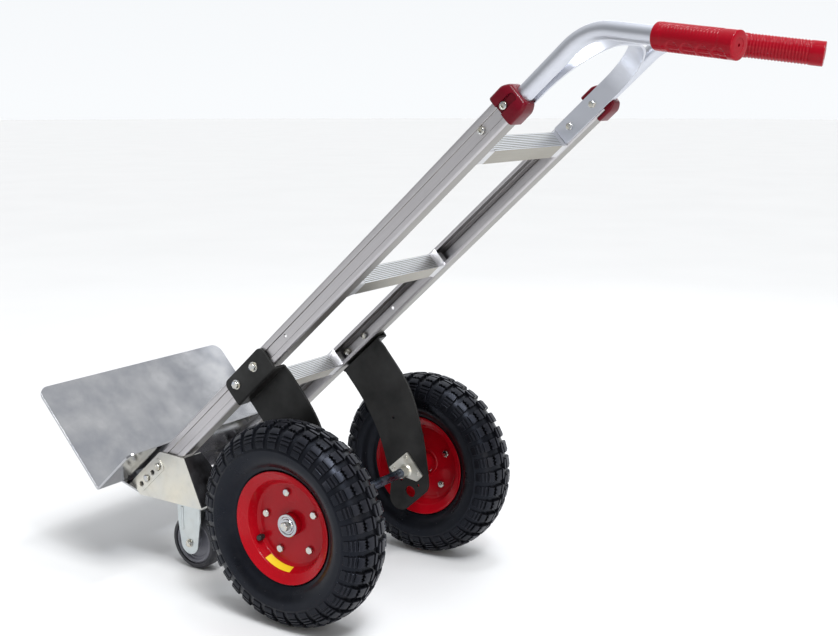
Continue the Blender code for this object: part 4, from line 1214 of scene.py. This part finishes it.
def make_castor_bracket(label, side):
    """Pressed corner: a cheek on the stile, a shelf under it and a sloping wall behind."""
    thickness = 0.003
    outer = CHEEK_INNER + thickness
    toe_s = span("toe_plate")[0].y + 0.004 + GAP
    front_h = span("stile_left")[1].z
    shelf_z, shelf_front, shelf_rear, shelf_inner = 0.1292, -0.3785, -0.231, 0.079
    peak = (-0.2685, 0.2140)
    shelf_h = (shelf_z - TYRE_RADIUS - toe_s * math.sin(TILT)) / math.cos(TILT)
    cheek = [frame_to_side(toe_s, front_h), frame_to_side(toe_s, shelf_h), (shelf_rear, shelf_z), peak,
             frame_to_side(-0.206, front_h)]
    cheek = fillet(cheek, [0.004, 0.001, 0.003, 0.005, 0.010], 5)
    open_holes = [circle(frame_to_side(s, SCREW_LINE), 0.0042, 20) for s in OPEN_HOLES]
    mesh_data = sheet([cheek] + open_holes, thickness, lambda y, z, t: (side * (outer - t), y, z))
    bracket = new_object("castor_bracket_" + label, mesh_data, [MATERIALS["zinc_sheet"]])
    shelf = sided(side, [(shelf_inner, shelf_front), (outer, shelf_front), (outer, shelf_rear),
                         (shelf_inner, shelf_rear)])
    shelf = fillet(shelf, [0.004, 0.0005, 0.0005, 0.004], 3)
    combined(bracket, prism(shelf, "z", shelf_z, shelf_z + thickness), "UNION")
    foot, head = Vector((0, shelf_rear, shelf_z)), Vector((0, *peak))
    wall = [(outer, 0.0), (outer, 1.0), (0.1127, 1.0), (0.0975, 0.65), (0.0975, 0.0)]
    rings = [[Vector((side * x, offset, 0)) + foot.lerp(head, t) for x, t in wall]
             for offset in (0.0, -thickness)]
    combined(bracket, lofted(rings), "UNION")
    # The sloping rear wall takes the near-black copy of the zinc: a painted dark reflection.
    bracket.data.materials.append(MATERIALS["zinc_painted_dark_reflection"])
    slope = (head - foot).normalized()
    for face in bracket.data.polygons:
        on_wall = abs(face.normal.dot(slope)) < 0.02 and abs(face.normal.x) < 0.02
        face.material_index = int(on_wall and abs(face.normal.z) < 0.99)
    settle(bracket, "zinc_sheet", place=FLOOR_POINT, edge=0.0010)
    make_cheek_pad(label, side, outer)
    for key in ("upper", "lower"):
        fasten(f"castor_bracket_bolt_{key}_{label}", side, 0.005, hex_bolt, 0.0064)


def make_cheek_pad(label, side, face):
    """The raised pad pressed in the cheek round its row of four holes."""
    thickness, rise = 0.0016, 0.0014
    outline = rectangle((-0.2975, 0.2290), (-0.2165, 0.2535), 0.0075, 6)
    holes = [circle((s, SCREW_LINE), 0.0050, 24) for s in OPEN_HOLES]
    holes += [circle((s, SCREW_LINE), 0.0074, 24) for s in BOLT_HOLES]
    pad = sheet([outline] + holes, thickness, lambda s, h, t: (side * (face + rise - t), s, h))
    piece("castor_bracket_pad_" + label, pad, "zinc_sheet", edge=0.0007)


def make_castor_fork(label, side):
    """Channel folded from one strip, with rounded lower ends and a pressed rib, under its plate."""
    node = "castor_fork_" + label
    axle = joint_matrix("castor_spin_" + label).translation
    x, y, axle_z = abs(axle.x), axle.y - AXLE.y, axle.z
    half, wall, gap = 0.023, 0.003, 0.00002
    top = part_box(node)[1].z
    strip_top = top - wall
    points = [(x - half, 0.0), (x - half, strip_top), (x + half, strip_top), (x + half, 0.0)]
    at, marks = folded(points, [0, 0.006, 0.006, 0], 5)
    total = marks[-1]
    wide, end, widest_z = 0.026, 0.020, 0.090
    lower = [(-wide, widest_z), (-end, axle_z)] + arc((0, axle_z), end, 190, 350, 16)
    lower += [(end, axle_z), (wide, widest_z)]
    upper = [(u, total - v) for u, v in reversed(lower)]
    radii = [0.02, 0.01] + [0] * 17 + [0.01, 0.02]
    loops = [fillet(lower + upper, radii + radii, 3)]
    loops += [circle((0, v), 0.0042, 20) for v in (axle_z, total - axle_z)]
    lines = [((-0.1, mark), (0.1, mark)) for mark in marks[1:-1]]

    def strip(u, v, t):
        point = at(v, -t)
        return (side * point.x, y + u, point.y)

    piece(node, sheet(loops, wall, strip, lines), "fork_zinc", place=FLOOR_POINT, edge=0.0007)
    plate = sided(side, rectangle((x - half - 0.004, y - 0.040), (x + half + 0.004, y + 0.040), 0.006))
    plate = prism(plate, "z", strip_top + gap, top)
    piece(node + "_plate", plate, "fork_zinc", place=FLOOR_POINT, edge=0.0006)
    ribs = []
    for face, outward in ((x + half, 1), (x - half, -1)):
        rings = []
        for rise, shrink in ((-0.001, 0.0), (0.0008, 0.0008), (0.0014, 0.0020)):
            low, high = (-0.0175 + shrink, 0.072 + shrink), (-0.0115 - shrink, 0.116 - shrink)
            rib_x = side * (face + outward * rise)
            rings.append([(rib_x, y + u, z) for u, z in rectangle(low, high, 0.0009, 3)])
        ribs.append(lofted(rings))
    piece("castor_fork_ribs_" + label, join(*ribs), "fork_zinc", place=FLOOR_POINT, sharp=50)
    make_plate_bolts(label, Vector((side * x, y, top)), wall)


def make_plate_bolts(label, centre, wall):
    """Four bolts with nuts, through the corners of the castor's plate and the shelf."""
    nut, head, shank = 0.0058, 0.0062, 0.003
    stations = [(-0.0088, 0.0045), (-0.0080, nut, "hex"), (-wall, nut, "hex"), (-wall, shank),
                (0.0034, shank), (0.0034, head, "hex"), (0.0072, head, "hex"), (0.0080, 0.0048)]
    upright = Matrix.Rotation(-math.pi / 2, 4, "Y")
    bolts = []
    for across in (-0.018, 0.018):
        for along in (-0.031, 0.031):
            corner = centre + Vector((math.copysign(1, centre.x) * across, along, 0))
            bolts.append(moved(fastener(stations), Matrix.Translation(corner) @ upright))
    piece("castor_plate_bolts_" + label, join(*bolts), "zinc", place=FLOOR_POINT, edge=0.0003, segments=1)


def make_castor_wheel(label, side):
    """Rubber tyre on a plastic core with a sunk web, and the bolt it turns on."""
    place = joint_matrix("castor_spin_" + label)
    wheel = {"body": "castor_wheel_" + label, "place": place}

    def symmetric(points, steps):
        """A turned ring from one side's points: x, radius, corner radius."""
        points = points + [(-x, r, corner) for x, r, corner in reversed(points)]
        return turned(fillet([point[:2] for point in points], [point[2] for point in points], steps), 80)

    tyre = [(0.0125, 0.0398, 0.0005), (0.0150, 0.0405, 0.001), (0.0150, 0.0455, 0.003),
            (0.0110, 0.0500, 0.006)]
    core = [(0.0190, 0.0045, 0), (0.0190, 0.0115, 0.0010), (0.0070, 0.0135, 0.002), (0.0060, 0.0295, 0.001),
            (0.0085, 0.0305, 0.0006), (0.0085, 0.0325, 0.0006), (0.0120, 0.0345, 0.001),
            (0.0135, 0.0375, 0.001), (0.0120, 0.0395, 0)]
    piece("castor_tyre_" + label, symmetric(tyre, 5), "castor_rubber", **wheel, sharp=40)
    piece("castor_core_" + label, symmetric(core, 3), "castor_core", **wheel, sharp=35)
    reach, nut, shank, flange, head = 0.0233, 0.0065, 0.0036, 0.0078, 0.0062
    stations = [
        (-reach - 0.005, 0.0050), (-reach - 0.0042, nut, "hex"), (-reach, nut, "hex"), (-reach, shank),
        (reach, shank), (reach, flange), (reach + 0.0010, flange), (reach + 0.0010, head, "hex"),
        (reach + 0.0042, head, "hex"), (reach + 0.0050, 0.0046), (reach + 0.0046, 0.0020),
    ]
    piece("castor_axle_bolt_" + label, fastener(sided(side, stations)), "zinc", place=place, edge=0.0003,
          segments=1)


# ---------------------------------------------------------------- camera, floor and light


def make_camera():
    """Seen from behind and to the left of the truck, a little above it."""
    yaw, pitch, roll = math.radians(33.47), math.radians(10.68), math.radians(-0.04)
    direction = -Vector((math.cos(yaw) * math.cos(pitch), math.sin(yaw) * math.cos(pitch), math.sin(pitch)))
    right = direction.cross(Vector((0, 0, 1))).normalized()
    up = right.cross(direction)
    turned_right = right * math.cos(roll) + up * math.sin(roll)
    turned_up = up * math.cos(roll) - right * math.sin(roll)
    data = bpy.data.cameras.new("camera")
    data.sensor_width = 36.0
    data.lens = 50.97
    data.clip_end = 100.0
    camera = bpy.data.objects.new("camera", data)
    bpy.context.scene.collection.objects.link(camera)
    rotation = Matrix((turned_right, turned_up, -direction)).transposed().to_4x4()
    camera.matrix_world = Matrix.Translation((1.5555, 1.1388 + AXLE.y, 0.8247)) @ rotation
    bpy.context.scene.camera = camera


def add_lamp(name, data, direction, location=(0, 0, 0)):
    lamp = bpy.data.objects.new(name, data)
    lamp.location = location
    lamp.rotation_euler = direction.to_track_quat("-Z", "Y").to_euler()
    bpy.context.scene.collection.objects.link(lamp)


def area_light(name, location, target, size, power, colour):
    data = bpy.data.lights.new(name, "AREA")
    data.shape = "RECTANGLE"
    data.size, data.size_y = size
    data.energy = power
    data.color = colour
    add_lamp(name, data, Vector(target) - Vector(location), location)


def make_sky(by_height, by_side, strength):
    """The studio's surroundings: tones by height, times tones from the dark side to the lit side."""
    world = bpy.data.worlds.new("studio")
    world.use_nodes = True
    sky = Tree(world.node_tree)
    direction = sky.node("ShaderNodeTexCoord").outputs["Generated"]
    height = sky.node("ShaderNodeSeparateXYZ", {0: direction}).outputs["Z"]
    side = sky.node("ShaderNodeVectorMath", {0: direction, 1: (-0.42, -0.27, 0.0)}, operation="DOT_PRODUCT")
    across = sky.node("ShaderNodeMapRange", {
        "Value": side.outputs["Value"], "From Min": -0.5, "From Max": 0.5}).outputs["Result"]
    layers = [
        sky.ramp(factor, [(position, (tone * 0.98, tone * 0.99, tone)) for position, tone in stops])
        for factor, stops in ((height, by_height), (across, by_side))
    ]
    background = world.node_tree.nodes["Background"]
    world.node_tree.links.new(sky.mix(1.0, *layers, blend="MULTIPLY"), background.inputs["Color"])
    background.inputs["Strength"].default_value = strength
    bpy.context.scene.world = world


def make_studio():
    """Pale floor out to the horizon, a bright uneven sky, a soft sun and five soft boxes."""
    mesh_data = bmesh.new()
    bmesh.ops.create_circle(mesh_data, cap_ends=True, radius=40.0, segments=96)
    paint = Surface("floor", roughness=0.6, specular=0.2)
    tones = [(0.3, (0.71, 0.71, 0.71)), (0.7, (0.73, 0.73, 0.73))]
    paint.set("Base Color", paint.ramp(paint.noise(1.5, 3.0), tones))
    floor = new_object("floor", mesh_data, [paint.material])
    make_sky([(0.0, 0.66), (0.10, 0.64), (0.22, 0.46), (0.55, 0.48), (0.80, 0.70), (1.0, 0.9)],
             [(0.0, 0.50), (0.42, 0.50), (0.75, 1.0), (1.0, 1.0)], 1.5)
    bpy.context.scene.view_settings.view_transform = "Standard"
    area_light("key", (1.1, 1.6, 3.0), (0.1, 0.0, 0.4), (0.4, 0.4), 27.0, (0.86, 0.92, 1.0))
    area_light("front", (1.4, 2.3, 1.5), (0.1, 0.1, 0.4), (1.2, 1.2), 8.0, (0.95, 0.97, 1.0))
    area_light("warm", (0.9, 2.4, 0.35), (0.0, 0.0, 0.5), (1.6, 0.5), 7.0, (1.0, 0.84, 0.66))
    area_light("back", (-2.6, -0.6, 1.9), (0.0, -0.1, 0.5), (1.6, 1.2), 10.0, (0.92, 0.95, 1.0))
    area_light("overhead", (-0.4, 0.3, 2.8), (0.1, 0.2, 0.6), (0.25, 0.60), 14.0, (0.92, 0.95, 1.0))
    sun = bpy.data.lights.new("sun", "SUN")
    sun.energy = 2.3
    sun.angle = math.radians(25)
    add_lamp("sun", sun, Vector((-0.5, -0.9, -2.2)))


# ---------------------------------------------------------------- assembly


def build():
    make_camera()
    make_studio()
    make_stiles()
    make_rungs()
    make_loop_bar()
    make_handles()
    make_toe_plate()
    make_axle()
    for label, side in SIDES.items():
        make_wheel_bracket(label, side)
        make_axle_flange(label, side)
        make_tyre(label)
        make_rims(label, side)
        make_axle_end(label, side)
        make_castor_bracket(label, side)
        make_castor_fork(label, side)
        make_castor_wheel(label, side)


build()
